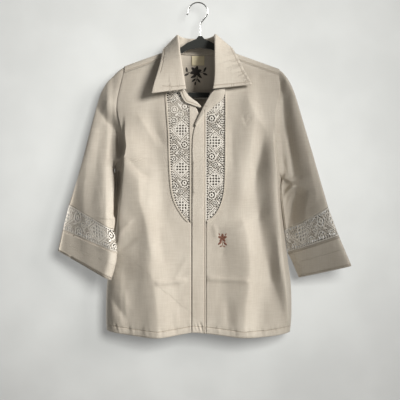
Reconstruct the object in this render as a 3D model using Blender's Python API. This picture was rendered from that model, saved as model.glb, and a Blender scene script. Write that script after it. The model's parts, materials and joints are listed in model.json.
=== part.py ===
"""An island-style camp-collar shirt with lace insets, hanging on a flocked clothes hanger.

Metres, +Z up. The front of the shirt faces -Y, and right and left are the wearer's, so the
right front is at -X. The origin is the top of the hook's inside, where the hanger is held.
Every panel is a thin wall: a sheet of points worked out from the garment's sections, which is
then given its thickness. A sheet's place across the body is its arc, the distance along the
cloth from the middle, and its place down the body is its height on the shoulder's tip line.
"""

import math

import bpy
from mathutils import Vector

for old in list(bpy.data.objects):
    bpy.data.objects.remove(old, do_unlink=True)

CLOTH = 0.0016
LACE = 0.0012
TRIM = 0.0010
SEAM = 0.0003
RIGHT, LEFT = -1, 1

# Shoulder line over the hanger
NECK_SIDE_X = 0.096
NECK_SIDE_Z = -0.1325
NECK_FLAT_X = 0.055
SHOULDER_SLOPE = 0.36
TIP_X = 0.200
LEVEL_Z = -0.45
RIDGE_RADIUS = 0.006
FORWARD_SEAM = 0.018
BACK_SEAM_Z = -0.250

# How far the cloth stands in front of the hanger, and behind it
FRONT_DEPTH = {"near": 0.034, "reach": 0.11, "flare": 0.010}
BACK_DEPTH = {"near": 0.022, "reach": 0.12, "flare": 0.008}
SIDE_ROUND = 0.075
BODY_LENGTH = 0.71
MIDDLE_DROP = 0.02
NECK_SWELL = {"out": 0.018, "across": 0.075, "down": 0.070, "start": 0.004}

# How often a place that depends on its own result is worked out again
ROUNDS = 30

# Half widths of the body at its side seams, by height
WIDTH_Z = (-0.165, -0.260, -0.350, -0.430, -0.500, -0.618, -0.694, -0.747, -0.800, -0.853, -0.885)
WIDTH = {
    RIGHT: (0.250, 0.246, 0.232, 0.2185, 0.2265, 0.2300, 0.2360, 0.2405, 0.2430, 0.2420, 0.2395),
    LEFT: (0.262, 0.256, 0.240, 0.2240, 0.2180, 0.2300, 0.2390, 0.2455, 0.2470, 0.2460, 0.2400),
}

# Armhole seams: height and distance from the middle, on the front and on the back
ARMHOLE = {
    (RIGHT, "front"): (
        (-0.165, -0.182, -0.206, -0.235, -0.272, -0.310, -0.349, -0.382, -0.403, -0.415, -0.4260),
        (0.1945, 0.1952, 0.1990, 0.2075, 0.2135, 0.2070, 0.1970, 0.1930, 0.1965, 0.2045, 0.2186),
    ),
    (RIGHT, "back"): (
        (-0.165, -0.206, -0.260, -0.320, -0.370, -0.403, -0.415, -0.4260),
        (0.1945, 0.1945, 0.1930, 0.1930, 0.1950, 0.2000, 0.2065, 0.2186),
    ),
    (LEFT, "front"): (
        (-0.170, -0.200, -0.240, -0.273, -0.310, -0.361, -0.400, -0.430, -0.448, -0.457, -0.4640),
        (0.2150, 0.2165, 0.2140, 0.2055, 0.2020, 0.2025, 0.2060, 0.2085, 0.2110, 0.2140, 0.2190),
    ),
    (LEFT, "back"): (
        (-0.170, -0.240, -0.310, -0.370, -0.420, -0.448, -0.457, -0.4640),
        (0.2150, 0.2140, 0.2080, 0.2050, 0.2065, 0.2110, 0.2145, 0.2190),
    ),
}
ARMPIT = {RIGHT: -0.4260, LEFT: -0.4640}

# Hem height across the body, from the right side seam to the left one
HEM_X = (-0.262, -0.233, -0.165, -0.106, -0.060, -0.014, 0.026, 0.070, 0.119, 0.180, 0.237, 0.262)
HEM_Z = (-0.862, -0.866, -0.875, -0.8795, -0.874, -0.866, -0.869, -0.874, -0.880, -0.877, -0.870, -0.864)

# Outer edge of each lace inset on the front, top to bottom, and the inset's inner edge
INSET_OUTER = {
    RIGHT: (
        (-0.1300, -0.2446, -0.3392, -0.4473, -0.4955, -0.5180, -0.5366, -0.5520, -0.5662, -0.5750, -0.5805),
        (-0.0840, -0.0840, -0.0771, -0.0731, -0.0692, -0.0642, -0.0570, -0.0478, -0.0379, -0.0300, -0.0225),
    ),
    LEFT: (
        (-0.1300, -0.2581, -0.4473, -0.5009, -0.5220, -0.5366, -0.5500, -0.5610, -0.5720, -0.5790),
        (0.0729, 0.0729, 0.0716, 0.0689, 0.0645, 0.0594, 0.0530, 0.0458, 0.0335, 0.0215),
    ),
}
BAND_EDGE = -0.0225
BAND_FREE_EDGE = 0.0100
FLY_SEAM = 0.0200
FLY_EDGE = -0.0151

# Neck opening on the front: the collar seam, then the roll of the lapel down to the front edge
NECKLINE = {
    RIGHT: (
        (-0.1300, -0.1462, -0.1776, -0.2120, -0.2320, -0.2440, -0.2560, -0.2660, -0.2790),
        (-0.0730, -0.0716, -0.0583, -0.0470, -0.0365, -0.0275, -0.0155, -0.0040, 0.0085),
    ),
    LEFT: (
        (-0.1300, -0.1422, -0.1776, -0.2067, -0.2250, -0.2320, -0.2430, -0.2650, -0.2820, -0.3060, -0.3210,
         -0.3370, -0.3600, -0.3900),
        (0.0640, 0.0620, 0.0540, 0.0477, 0.0430, 0.0390, 0.0310, 0.0200, 0.0125, 0.0020, -0.0040,
         -0.0100, -0.0142, -0.0151),
    ),
}

# Soft folds of the front and of the back. A path is heights and places across; a height above
# zero is a ridge, below zero a trough. Left and right widths are on each side of the line.
FRONT_FOLDS = (
    {"z": (-0.36, -0.53, -0.737, -0.95), "x": (-0.149, -0.144, -0.115, -0.102),
     "left": 0.040, "right": 0.036, "height": 0.013, "fade": (0.14, 0.0)},
    {"z": (-0.66, -0.76, -0.95), "x": (-0.196, -0.190, -0.182),
     "left": 0.020, "right": 0.030, "height": -0.008, "fade": (0.08, 0.0)},
    {"z": (-0.26, -0.45, -0.62), "x": (-0.118, -0.108, -0.098),
     "left": 0.022, "right": 0.018, "height": -0.006, "fade": (0.06, 0.08)},
    {"z": (-0.405, -0.450, -0.501, -0.583, -0.66), "x": (-0.2120, -0.2140, -0.2175, -0.2220, -0.2300),
     "left": 0.007, "right": 0.010, "height": -0.024, "fade": (0.06, 0.07)},
    {"z": (-0.20, -0.39, -0.56), "x": (0.137, 0.137, 0.127),
     "left": 0.030, "right": 0.018, "height": 0.008, "fade": (0.05, 0.06)},
    {"z": (-0.54, -0.68, -0.731, -0.95), "x": (0.105, 0.137, 0.134, 0.112),
     "left": 0.048, "right": 0.026, "height": 0.013, "fade": (0.09, 0.0)},
    {"z": (-0.33, -0.437, -0.522, -0.607, -0.694, -0.758, -0.84),
     "x": (0.175, 0.150, 0.156, 0.169, 0.182, 0.195, 0.212),
     "left": 0.020, "right": 0.018, "height": -0.021, "fade": (0.08, 0.09)},
    {"z": (-0.40, -0.522, -0.655, -0.80), "x": (0.197, 0.207, 0.214, 0.228),
     "left": 0.014, "right": 0.014, "height": 0.009, "fade": (0.05, 0.10)},
)
BACK_FOLDS = (
    {"z": (-0.34, -0.56, -0.95), "x": (-0.150, -0.140, -0.122),
     "left": 0.026, "right": 0.030, "height": 0.012, "fade": (0.12, 0.0)},
    {"z": (-0.30, -0.60, -0.95), "x": (-0.060, -0.055, -0.048),
     "left": 0.030, "right": 0.026, "height": -0.007, "fade": (0.10, 0.0)},
    {"z": (-0.42, -0.66, -0.95), "x": (0.030, 0.026, 0.020),
     "left": 0.030, "right": 0.036, "height": 0.010, "fade": (0.14, 0.0)},
    {"z": (-0.32, -0.58, -0.95), "x": (0.104, 0.108, 0.114),
     "left": 0.022, "right": 0.022, "height": -0.009, "fade": (0.10, 0.0)},
    {"z": (-0.38, -0.60, -0.95), "x": (0.172, 0.170, 0.168),
     "left": 0.024, "right": 0.020, "height": 0.011, "fade": (0.10, 0.0)},
)


def at(keys, values, key):
    """A value read from a table by a smooth curve through its rows; keys may rise or fall."""
    if keys[0] > keys[-1]:
        keys, values = keys[::-1], values[::-1]
    if key <= keys[0]:
        return values[0]
    if key >= keys[-1]:
        return values[-1]
    i = max(j for j in range(len(keys) - 1) if keys[j] <= key)

    def slope(j):
        if j in (0, len(keys) - 1):
            return 0.0 if len(keys) > 2 else (values[-1] - values[0]) / (keys[-1] - keys[0])
        before = (values[j] - values[j - 1]) / (keys[j] - keys[j - 1])
        after = (values[j + 1] - values[j]) / (keys[j + 1] - keys[j])
        if before * after <= 0:
            return 0.0
        return 2 * before * after / (before + after)

    span = keys[i + 1] - keys[i]
    t = (key - keys[i]) / span
    rise = values[i + 1] - values[i]
    start, end = slope(i) * span, slope(i + 1) * span
    return values[i] + start * t + (3 * rise - 2 * start - end) * t**2 + (start + end - 2 * rise) * t**3


def ease(t):
    t = min(1.0, max(0.0, t))
    return t * t * (3 - 2 * t)


def mix(a, b, t):
    return a + (b - a) * t


def steps(a, b, n):
    return [mix(a, b, i / n) for i in range(n + 1)]


def relief(folds, x, z):
    """How far the folds push the cloth outwards at a place."""
    total = 0.0
    for fold in folds:
        top, bottom = fold["z"][0], fold["z"][-1]
        if not bottom <= z <= top:
            continue
        across = x - at(fold["z"], fold["x"], z)
        width = fold["left"] if across < 0 else fold["right"]
        fade_top, fade_bottom = fold["fade"]
        strength = ease((top - z) / fade_top) if fade_top else 1.0
        strength *= ease((z - bottom) / fade_bottom) if fade_bottom else 1.0
        total += fold["height"] * strength * math.exp(-((across / width) ** 2))
    return total


# The torso


def ridge(x):
    """Height of the shoulder line, which the hanger holds."""
    return NECK_SIDE_Z - SHOULDER_SLOPE * (max(abs(x), NECK_FLAT_X) - NECK_SIDE_X)


def tilt(height):
    """1 where rows run along the shoulder's slope, 0 where they are level."""
    return ease((height - LEVEL_Z) / (ridge(TIP_X) - LEVEL_Z))


def true_z(x, height):
    return height + tilt(height) * (ridge(x) - ridge(TIP_X))


def height_of(x, z):
    """The row height that passes through a point of the front view."""
    height = z
    for _ in range(ROUNDS):
        height = z - tilt(height) * (ridge(x) - ridge(TIP_X))
    return height


def half_width(hand, height):
    return at(WIDTH_Z, WIDTH[hand], height)


def depth(profile, drop):
    """Distance of the cloth from the middle plane, this far below the shoulder line."""
    drop = max(0.0, drop)
    inside = min(drop, RIDGE_RADIUS)
    cap = math.sqrt(RIDGE_RADIUS**2 - (RIDGE_RADIUS - inside) ** 2)
    body = profile["near"] * (1 - math.exp(-drop / profile["reach"]))
    return cap + body + profile["flare"] * drop / BODY_LENGTH


def corner_arc(deep):
    """Length of the rounded side, from the flat front to the side seam."""
    return math.pi / 2 * math.sqrt((SIDE_ROUND**2 + deep**2) / 2)


def arc_of(x, hand, height, deep):
    """Distance along the cloth from the middle to this place across."""
    flat = half_width(hand, height) - SIDE_ROUND
    if abs(x) <= flat:
        return abs(x)
    return flat + math.asin(min(1.0, (abs(x) - flat) / SIDE_ROUND)) / (math.pi / 2) * corner_arc(deep)


def section(arc, hand, height, deep):
    """Place across, and share of the depth, of a point on the body's section."""
    flat = half_width(hand, height) - SIDE_ROUND
    if arc <= flat:
        return arc, 1.0
    turn = (arc - flat) / corner_arc(deep) * math.pi / 2
    return flat + SIDE_ROUND * math.sin(turn), math.cos(turn)


def nominal_depth(profile, hand, height):
    """The depth that sets a row's arc lengths, read just below where it crosses the shoulder tip."""
    return depth(profile, ridge(TIP_X) - height + MIDDLE_DROP)


def front(arc, height, lift=0.0):
    """A point of the front, by its signed arc and row height; lift stands it off the cloth."""
    hand = LEFT if arc >= 0 else RIGHT
    across, share = section(abs(arc), hand, height, nominal_depth(FRONT_DEPTH, hand, height))
    x = hand * across
    z = true_z(x, height)
    deep = depth(FRONT_DEPTH, ridge(x) - z)
    return Vector((x, -share * (deep + relief(FRONT_FOLDS, x, z)) - lift, z))


def back(arc, height, lift=0.0):
    hand = LEFT if arc >= 0 else RIGHT
    across, share = section(abs(arc), hand, height, nominal_depth(BACK_DEPTH, hand, height))
    x = hand * across
    z = true_z(x, height)
    deep = depth(BACK_DEPTH, ridge(x) - z)
    return Vector((x, share * (deep + relief(BACK_FOLDS, x, z)) + neck_swell(x, z) + lift, z))


def neck_swell(x, z):
    """How far the collar's stand pushes the back out behind the neck."""
    across, down = x / NECK_SWELL["across"], (ridge(x) - z) / NECK_SWELL["down"]
    return NECK_SWELL["out"] * math.exp(-across**2) * math.exp(-down) ** 2


def side_arc(hand, height, profile):
    deep = nominal_depth(profile, hand, height)
    return half_width(hand, height) - SIDE_ROUND + corner_arc(deep)


def outer_arc(hand, height, side):
    """Arc of the armhole seam, or of the side seam below the armpit."""
    profile = FRONT_DEPTH if side == "front" else BACK_DEPTH
    if height <= ARMPIT[hand]:
        return side_arc(hand, height, profile)
    x = at(*ARMHOLE[(hand, side)], height)
    return arc_of(x, hand, height, nominal_depth(profile, hand, height))


def hem_level(x):
    return at(HEM_X, HEM_Z, x)


def forward_level(x):
    """Height of the forward shoulder seam, just below the yoke."""
    return ridge(x) - FORWARD_SEAM - SEAM


def back_level(x):
    return BACK_SEAM_Z - SEAM


def on_level(place, arc, level, lift=0.0):
    """The point of the front or the back, at this arc, where the cloth crosses a level."""
    x = arc
    for _ in range(ROUNDS):
        height = height_of(x, level(x))
        x = place(arc, height).x
    return place(arc, height, lift)


# Making pieces


def material(name, colour, roughness, metallic=0.0):
    made = bpy.data.materials.new(name)
    made.use_nodes = True
    shader = made.node_tree.nodes["Principled BSDF"]
    shader.inputs["Base Color"].default_value = (*colour, 1)
    shader.inputs["Roughness"].default_value = roughness
    shader.inputs["Metallic"].default_value = metallic
    made.diffuse_color = (*colour, 1)
    return made


TWILL = material("cream_twill", (0.62, 0.55, 0.46), 0.75)
LACEWORK = material("silver_white_lace", (0.66, 0.64, 0.60), 0.55)
TAPE = material("label_tape", (0.66, 0.57, 0.40), 0.8)
FLOCK = material("grey_flock", (0.035, 0.038, 0.036), 0.95)
CHROME = material("bright_wire", (0.55, 0.55, 0.54), 0.22, 1.0)


def add_object(name, mesh, finish):
    obj = bpy.data.objects.new(name, mesh)
    bpy.context.scene.collection.objects.link(obj)
    mesh.materials.append(finish)
    mesh.shade_smooth()
    return obj


def sheet(name, rows, finish, thick=CLOTH, closed=False, holes=(), flip=False):
    """A wall made from rows of points. Closed joins each row's ends; holes are cells left out."""
    columns = len(rows[0])
    points = [p for row in rows for p in row]
    faces = []
    for i in range(len(rows) - 1):
        for j in range(columns if closed else columns - 1):
            if (i, j) in holes:
                continue
            k = (j + 1) % columns
            face = (i * columns + j, i * columns + k, (i + 1) * columns + k, (i + 1) * columns + j)
            faces.append(face[::-1] if flip else face)
    mesh = bpy.data.meshes.new(name)
    mesh.from_pydata(points, [], faces)
    mesh.validate()
    obj = add_object(name, mesh, finish)
    wall = obj.modifiers.new("wall", "SOLIDIFY")
    wall.thickness = thick
    wall.offset = 0.0
    wall.use_even_offset = True
    wall.thickness_clamp = 0.0
    return obj


PANEL_SHARES = (0, 0.15, 0.30, 0.44, 0.57, 0.68, 0.775, 0.85, 0.91, 0.965, 1)
BACK_SHARES = (0, 0.19, 0.37, 0.54, 0.70, 0.84, 0.96, 1)
SIDE_GAP = 0.0004
PIT_GAP = 0.0008


def side_gap(hand, height):
    """Half the side seam's gap, wider where it starts at the armpit."""
    if height > ARMPIT[hand]:
        return 0.0
    return PIT_GAP if height == ARMPIT[hand] else SIDE_GAP


# Front panels, with their rows at shared heights so that seams meet

FRONT_TOP = -0.188
HEM_ROW = -0.872
INSET_END = -0.578
FRONT_ROWS = (-0.218, -0.244, -0.272, -0.300, -0.328, -0.354, -0.378, -0.400, -0.415, -0.4260, -0.440,
              -0.455, -0.4640, -0.480, -0.500, -0.520, -0.537, -0.551, -0.562, -0.570, -0.5765, -0.5815,
              -0.608, -0.640, -0.672, -0.704, -0.736, -0.770, -0.806, -0.842)


def inset_edge(hand, height):
    """Signed arc of the lace inset's outer edge."""
    x = at(*INSET_OUTER[hand], height)
    for _ in range(ROUNDS):
        x = at(*INSET_OUTER[hand], true_z(x, height))
    return x


def neck_edge(hand, height):
    x = at(*NECKLINE[hand], height)
    for _ in range(ROUNDS):
        x = at(*NECKLINE[hand], true_z(x, height))
    return x


SLOPE_STEP = 0.002


def slant_gap(hand, height):
    """Half a seam's gap, measured level, where the inset's edge runs aslant."""
    rise = inset_edge(hand, height + SLOPE_STEP) - inset_edge(hand, height - SLOPE_STEP)
    run = rise / (2 * SLOPE_STEP)
    return SEAM / 2 * math.sqrt(1 + run**2)


def panel_inner(hand, height):
    """Arc where a front panel ends towards the middle."""
    if height > INSET_END:
        return abs(inset_edge(hand, height)) + slant_gap(hand, height)
    return (FLY_SEAM if hand == LEFT else -BAND_MEET) + SEAM / 2


def front_panel(hand, name):
    rows = []
    for height in (FRONT_TOP, *FRONT_ROWS, HEM_ROW):
        inner = panel_inner(hand, height)
        outer = outer_arc(hand, height, "front") - side_gap(hand, height)
        arcs = [hand * mix(inner, outer, share) for share in PANEL_SHARES]
        if height == FRONT_TOP:
            rows.append([on_level(front, a, forward_level) for a in arcs])
        elif height == HEM_ROW:
            rows.append([on_level(front, a, hem_level) for a in arcs])
        else:
            rows.append([front(a, height) for a in arcs])
    return sheet(name, rows, TWILL, flip=hand == LEFT)


# Lace insets, with the eyelets of each repeat cut through

EYELET = 0.0045
EYELET_MARGIN = 0.004
CLUSTER = 7
DIAMOND_REACH = 2.5
INSET_COLUMNS = 9
CLUSTER_TOPS = {RIGHT: (-0.3210, -0.4290), LEFT: (-0.3520, -0.4530)}
FREE_EDGE_ROWS = (-0.200, -0.225, -0.249)


def inset_span(hand, height):
    """The inset's two edges, signed, in rising order."""
    edge = inset_edge(hand, height)
    gap = slant_gap(hand, height)
    neck = neck_edge(hand, height)
    if hand == RIGHT:
        return edge + gap, min(neck, BAND_EDGE) - SEAM / 2
    return max(neck, FLY_SEAM) + SEAM / 2, edge - gap


def inset_rows(hand):
    eyelets = [(top - EYELET * i, i) for top in CLUSTER_TOPS[hand] for i in range(CLUSTER + 1)]
    deep = EYELET * CLUSTER + EYELET_MARGIN
    spans = [(top + EYELET_MARGIN, top - deep) for top in CLUSTER_TOPS[hand]]
    plain = [h for h in (*FREE_EDGE_ROWS, *FRONT_ROWS) if h > INSET_END]
    plain = [h for h in plain if not any(low <= h <= high for high, low in spans)]
    return sorted([(FRONT_TOP, None)] + [(h, None) for h in plain] + eyelets, key=lambda row: -row[0])


def lace_inset(hand, name):
    rows, holes = [], set()
    middle = INSET_COLUMNS // 2 + (1 if hand == LEFT else -1)
    for i, (height, eyelet) in enumerate(inset_rows(hand)):
        arcs = steps(*inset_span(hand, height), INSET_COLUMNS)
        if height == FRONT_TOP:
            rows.append([on_level(front, a, forward_level) for a in arcs])
            continue
        rows.append([front(a, height) for a in arcs])
        if eyelet is None or eyelet % 2 == 0 or eyelet >= CLUSTER:
            continue
        reach = DIAMOND_REACH - abs((eyelet - 1) / 2 - 1)
        for j in range(1, INSET_COLUMNS - 1):
            if (j + (eyelet - 1) // 2) % 2 == 0 and abs(j - middle) <= reach:
                holes.add((i, j))
    return sheet(name, rows, LACEWORK, LACE, holes=holes)


TRIM_HALF = 0.0022
TRIM_START = 0.004
CLEARANCE = 0.0002


def inset_trim(hand, name):
    """The narrow turned edge stitched over the seam between lace and panel."""
    lift = CLOTH / 2 + SEAM + TRIM / 2 + CLEARANCE
    line = [FRONT_TOP - TRIM_START] + [h for h in FRONT_ROWS if h > INSET_END] + [INSET_END]
    rows = []
    for i, height in enumerate(line):
        edge = inset_edge(hand, height)
        before, after = line[max(i - 1, 0)], line[min(i + 1, len(line) - 1)]
        run = Vector((inset_edge(hand, after) - inset_edge(hand, before), after - before)).normalized()
        across = Vector((-run.y, run.x)) * TRIM_HALF
        rows.append([front(edge + across.x * k, height + across.y * k, lift) for k in (-1, 0, 1)])
    return sheet(name, rows, TWILL, TRIM)


# Button band, fly placket and lapels

# The fly lies over the band: how far each stands off the front at its two edges
FLY_LIFT = {"free": 0.0020, "sewn": 0.0004}
BAND_DIP = 0.0014
BAND_MEET = -0.0162
BAND_SHARES = (0, 0.2, 0.5, 1)
BAND_ROWS = (-0.328, -0.345, -0.362, -0.380, -0.400, -0.4260, -0.4640, -0.500, -0.537, -0.562, -0.5765,
             -0.5815, -0.640, -0.704, -0.770, -0.842)
ROW_SPACE = 0.006

# The upper end of each, in the front view, and the height where the neckline leaves its edge
BAND_TOP = (-0.012, -0.2535)
FLY_TOP = (0.018, -0.2740)
BAND_NECK_END = -0.33
FLY_NECK_END = -0.47


def band_point(arc, height, lift=0.0):
    """The band dips behind the fly that covers it."""
    dip = BAND_DIP * min(1.0, max(0.0, (arc - BAND_MEET) / (BAND_FREE_EDGE - BAND_MEET)))
    return front(arc, height, lift - dip)


def rows_from(first):
    """The row heights of the band or the fly, below its upper end."""
    return (first, *(h for h in BAND_ROWS if h < first - ROW_SPACE))


def button_band():
    rows = []
    for height in rows_from(height_of(*BAND_TOP)):
        left = BAND_EDGE if height > INSET_END else BAND_MEET
        right = BAND_FREE_EDGE
        if height > BAND_NECK_END:
            right = min(neck_edge(RIGHT, height), BAND_FREE_EDGE)
        arcs = [mix(left + SEAM / 2, right, share) for share in BAND_SHARES]
        rows.append([band_point(a, height) for a in arcs])
    rows.append([on_level(band_point, row.x, hem_level) for row in rows[-1]])
    return sheet("button_band", rows, TWILL)


def fly_placket():
    def row(height, level=None):
        left = max(neck_edge(LEFT, height), FLY_EDGE) if height > FLY_NECK_END else FLY_EDGE
        points = []
        for share in steps(0, 1, 3):
            lift = mix(FLY_LIFT["free"], FLY_LIFT["sewn"], share)
            arc = mix(left, FLY_SEAM - SEAM / 2, share)
            points.append(on_level(front, arc, level, lift) if level else front(arc, height, lift))
        return points

    rows = [row(height) for height in rows_from(height_of(*FLY_TOP))]
    rows.append(row(HEM_ROW, hem_level))
    return sheet("fly_placket", rows, TWILL)


def along(points, share):
    """A point this share of the way along a line of points."""
    points = [Vector(p) for p in points]
    lengths = [(b - a).length for a, b in zip(points, points[1:])]
    left = share * sum(lengths)
    for i, length in enumerate(lengths):
        if left <= length or i == len(lengths) - 1:
            return points[i].lerp(points[i + 1], left / length)
        left -= length


# Lapels, the facings turned out: their roll line and their free edge, from the collar down.
# A row is the place in the front view, x and z, and the lift off the front.
LAPEL = {
    RIGHT: {
        "roll": ((-0.0335, -0.2360, 0.0080), (-0.0280, -0.2457, 0.0045), (-0.0150, -0.2580, 0.0021),
                 (-0.0034, -0.2650, 0.0016), (0.0085, -0.2775, 0.0011)),
        "free": ((-0.0500, -0.2330, 0.0070), (-0.0430, -0.2520, 0.0060), (-0.0340, -0.2680, 0.0055),
                 (-0.0133, -0.2745, 0.0045), (0.0050, -0.2812, 0.0024)),
    },
    LEFT: {
        "roll": ((0.0415, -0.2355, 0.0090), (0.0305, -0.2470, 0.0060), (0.0270, -0.2560, 0.0045),
                 (0.0135, -0.2796, 0.0042), (0.0064, -0.2942, 0.0041), (-0.0034, -0.3135, 0.0042),
                 (-0.0085, -0.3260, 0.0042)),
        "free": ((0.0700, -0.2290, 0.0080), (0.0715, -0.2530, 0.0070), (0.0596, -0.2626, 0.0070),
                 (0.0403, -0.2796, 0.0065), (0.0195, -0.2980, 0.0062), (0.0090, -0.3090, 0.0062),
                 (-0.0045, -0.3300, 0.0045)),
    },
}
LAPEL_STEPS = (9, 3)
LAPEL_BOW = 0.0015


def lapel(hand, name):
    def edge(part):
        return [front(x, height_of(x, z), lift) for x, z, lift in LAPEL[hand][part]]

    roll, free = edge("roll"), edge("free")
    rows = []
    for v in steps(0, 1, LAPEL_STEPS[1]):
        row = [along(roll, u).lerp(along(free, u), v) for u in steps(0, 1, LAPEL_STEPS[0])]
        rows.append([p - Vector((0, LAPEL_BOW * math.sin(math.pi * v), 0)) for p in row])
    return sheet(name, rows, TWILL, flip=hand == LEFT)


# Yoke: a horseshoe round the neck, from one forward seam over the back to the other


def over_shoulder(x, w):
    """A point of the yoke: w runs over the shoulder line, below zero on the front."""
    quarter = RIDGE_RADIUS * math.pi / 2
    if abs(w) < quarter:
        drop = RIDGE_RADIUS * (1 - math.cos(w / RIDGE_RADIUS))
    else:
        drop = RIDGE_RADIUS + abs(w) - quarter
    z = ridge(x) - drop
    hand = LEFT if x >= 0 else RIGHT
    profile = FRONT_DEPTH if w < 0 else BACK_DEPTH
    height = height_of(x, z)
    arc = arc_of(x, hand, height, nominal_depth(profile, hand, height))
    share = section(arc, hand, height, nominal_depth(profile, hand, height))[1]
    if w < 0:
        return Vector((x, -share * depth(profile, drop), z))
    swell = neck_swell(x, z) * ease(w / NECK_SWELL["start"])
    return Vector((x, share * depth(profile, drop) + swell, z))


YOKE_SHARES = (0, 0.12, 0.27, 0.43, 0.6, 0.78, 0.9, 1)
YOKE_TIP = {RIGHT: 0.1948, LEFT: 0.2153}
YOKE_NECK = {RIGHT: 0.0728, LEFT: 0.0636}
YOKE_MIDDLE = (-0.001, 0.0223)

# Columns of the yoke over the shoulder, from just behind the forward seam: how far each end lies
# out from the neck's side and from the tip, and w there
YOKE_COLUMNS = ("neck_out", "neck_w", "tip_out", "tip_w")
YOKE_OVER = (
    (0.0015, -0.0140, 0.0006, -0.0140),
    (0.0025, -0.0080, 0.0002, -0.0080),
    (0.0030, -0.0040, 0.0000, -0.0040),
    (0.0030, 0.0000, 0.0000, 0.0000),
    (0.0020, 0.0040, 0.0000, 0.0040),
    (-0.0005, 0.0090, -0.0002, 0.0100),
    (-0.0060, 0.0140, -0.0004, 0.0260),
    (-0.0140, 0.0170, -0.0008, 0.0500),
)
FORWARD_TIP_OUT = 0.0010

# Its columns down the back, which end at the back seam: the neck end, and the share of the tip's
# distance from the middle
YOKE_BACK = (
    {"neck_out": -0.021, "neck_w": 0.0190, "share": 0.994},
    {"neck_out": -0.029, "neck_w": 0.0205, "share": 0.76},
    {"neck_out": -0.037, "neck_w": 0.0215, "share": 0.52},
    {"neck_out": -0.044, "neck_w": 0.0220, "share": 0.30},
)
ARMHOLE_COLUMNS = 10
SUMMIT = 4


def wrap(drop):
    """Length over the shoulder line that reaches this far below it."""
    return drop + RIDGE_RADIUS * (math.pi / 2 - 1)


def yoke_columns(hand):
    """One side of the horseshoe, from the forward seam to the back: neck end and outer end."""
    neck, tip = YOKE_NECK[hand], YOKE_TIP[hand]
    forward = -wrap(FORWARD_SEAM)
    columns = [((hand * neck, forward), (hand * (tip + FORWARD_TIP_OUT), forward))]
    for row in YOKE_OVER:
        spec = dict(zip(YOKE_COLUMNS, row))
        inner = (hand * (neck + spec["neck_out"]), spec["neck_w"])
        columns.append((inner, (hand * (tip + spec["tip_out"]), spec["tip_w"])))
    for spec in YOKE_BACK:
        x = tip * spec["share"]
        inner = (hand * (neck + spec["neck_out"]), spec["neck_w"])
        columns.append((inner, (hand * x, wrap(ridge(x) - BACK_SEAM_Z))))
    return columns


def all_yoke_columns():
    middle = (YOKE_MIDDLE, (0.0, wrap(ridge(0) - BACK_SEAM_Z)))
    return [*yoke_columns(RIGHT), middle, *yoke_columns(LEFT)[::-1]]


def yoke_point(inner, outer, share):
    """A point of a yoke column, this share of the way from its neck end to its outer end."""
    return over_shoulder(mix(inner[0], outer[0], share), mix(inner[1], outer[1], share))


def back_yoke():
    rows = [[yoke_point(*column, share) for share in YOKE_SHARES] for column in all_yoke_columns()]
    return sheet("back_yoke", rows, TWILL, flip=True)


# Back panel

BACK_TOP = -0.270
BACK_ROWS = (-0.310, -0.345, -0.380, -0.405, -0.4260, -0.445, -0.4640, -0.500, -0.545, -0.595, -0.645,
             -0.695, -0.745, -0.795, -0.837)


def back_panel():
    rows = []
    for height in (BACK_TOP, *BACK_ROWS, HEM_ROW):
        arcs = []
        for hand in (RIGHT, LEFT):
            outer = outer_arc(hand, height, "back") - side_gap(hand, height)
            shares = BACK_SHARES[::-1] if hand == RIGHT else BACK_SHARES[1:]
            arcs += [hand * outer * share for share in shares]
        if height == BACK_TOP:
            rows.append([on_level(back, a, back_level) for a in arcs])
        elif height == HEM_ROW:
            rows.append([on_level(back, a, hem_level) for a in arcs])
        else:
            rows.append([back(a, height) for a in arcs])
    return sheet("back_panel", rows, TWILL, flip=True)


# Sleeves: rings from the armhole to the cuff. Each ring has an outer and an inner point in the
# front view, with their depths, and half its own depth.

SLEEVE_COLUMNS = ("outer_x", "outer_z", "inner_x", "inner_z", "outer_y", "inner_y", "half_depth")
SLEEVE = {
    RIGHT: (
        (-0.2400, -0.2105, -0.2262, -0.4440, -0.005, -0.003, 0.031),
        (-0.2560, -0.2370, -0.2264, -0.4590, -0.008, -0.006, 0.031),
        (-0.2680, -0.2750, -0.2265, -0.4790, -0.012, -0.010, 0.031),
        (-0.2840, -0.3360, -0.2268, -0.5040, -0.018, -0.018, 0.031),
        (-0.3020, -0.4130, -0.2268, -0.5330, -0.024, -0.027, 0.030),
        (-0.3200, -0.4770, -0.2250, -0.5660, -0.030, -0.036, 0.028),
        (-0.3390, -0.5350, -0.2230, -0.5980, -0.036, -0.044, 0.026),
    ),
    LEFT: (
        (0.2440, -0.2100, 0.2290, -0.4700, -0.009, 0.000, 0.032),
        (0.2530, -0.2360, 0.2325, -0.4760, -0.014, 0.000, 0.034),
        (0.2655, -0.2800, 0.2360, -0.4860, -0.020, 0.000, 0.034),
        (0.2830, -0.3400, 0.2385, -0.5000, -0.026, -0.001, 0.033),
        (0.3020, -0.4080, 0.2400, -0.5200, -0.033, -0.002, 0.031),
        (0.3200, -0.4760, 0.2405, -0.5480, -0.040, -0.004, 0.029),
        (0.3375, -0.5400, 0.2420, -0.6010, -0.046, -0.008, 0.026),
    ),
}
LACE_BAND = {
    RIGHT: (
        (-0.3390, -0.5350, -0.2230, -0.5980, -0.036, -0.044, 0.026),
        (-0.3470, -0.5680, -0.2160, -0.6280, -0.038, -0.048, 0.024),
        (-0.3545, -0.5995, -0.2095, -0.6560, -0.040, -0.052, 0.022),
    ),
    LEFT: (
        (0.3375, -0.5400, 0.2420, -0.6010, -0.046, -0.008, 0.026),
        (0.3510, -0.5770, 0.2410, -0.6310, -0.048, -0.011, 0.024),
        (0.3645, -0.6135, 0.2405, -0.6595, -0.050, -0.014, 0.022),
    ),
}
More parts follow.
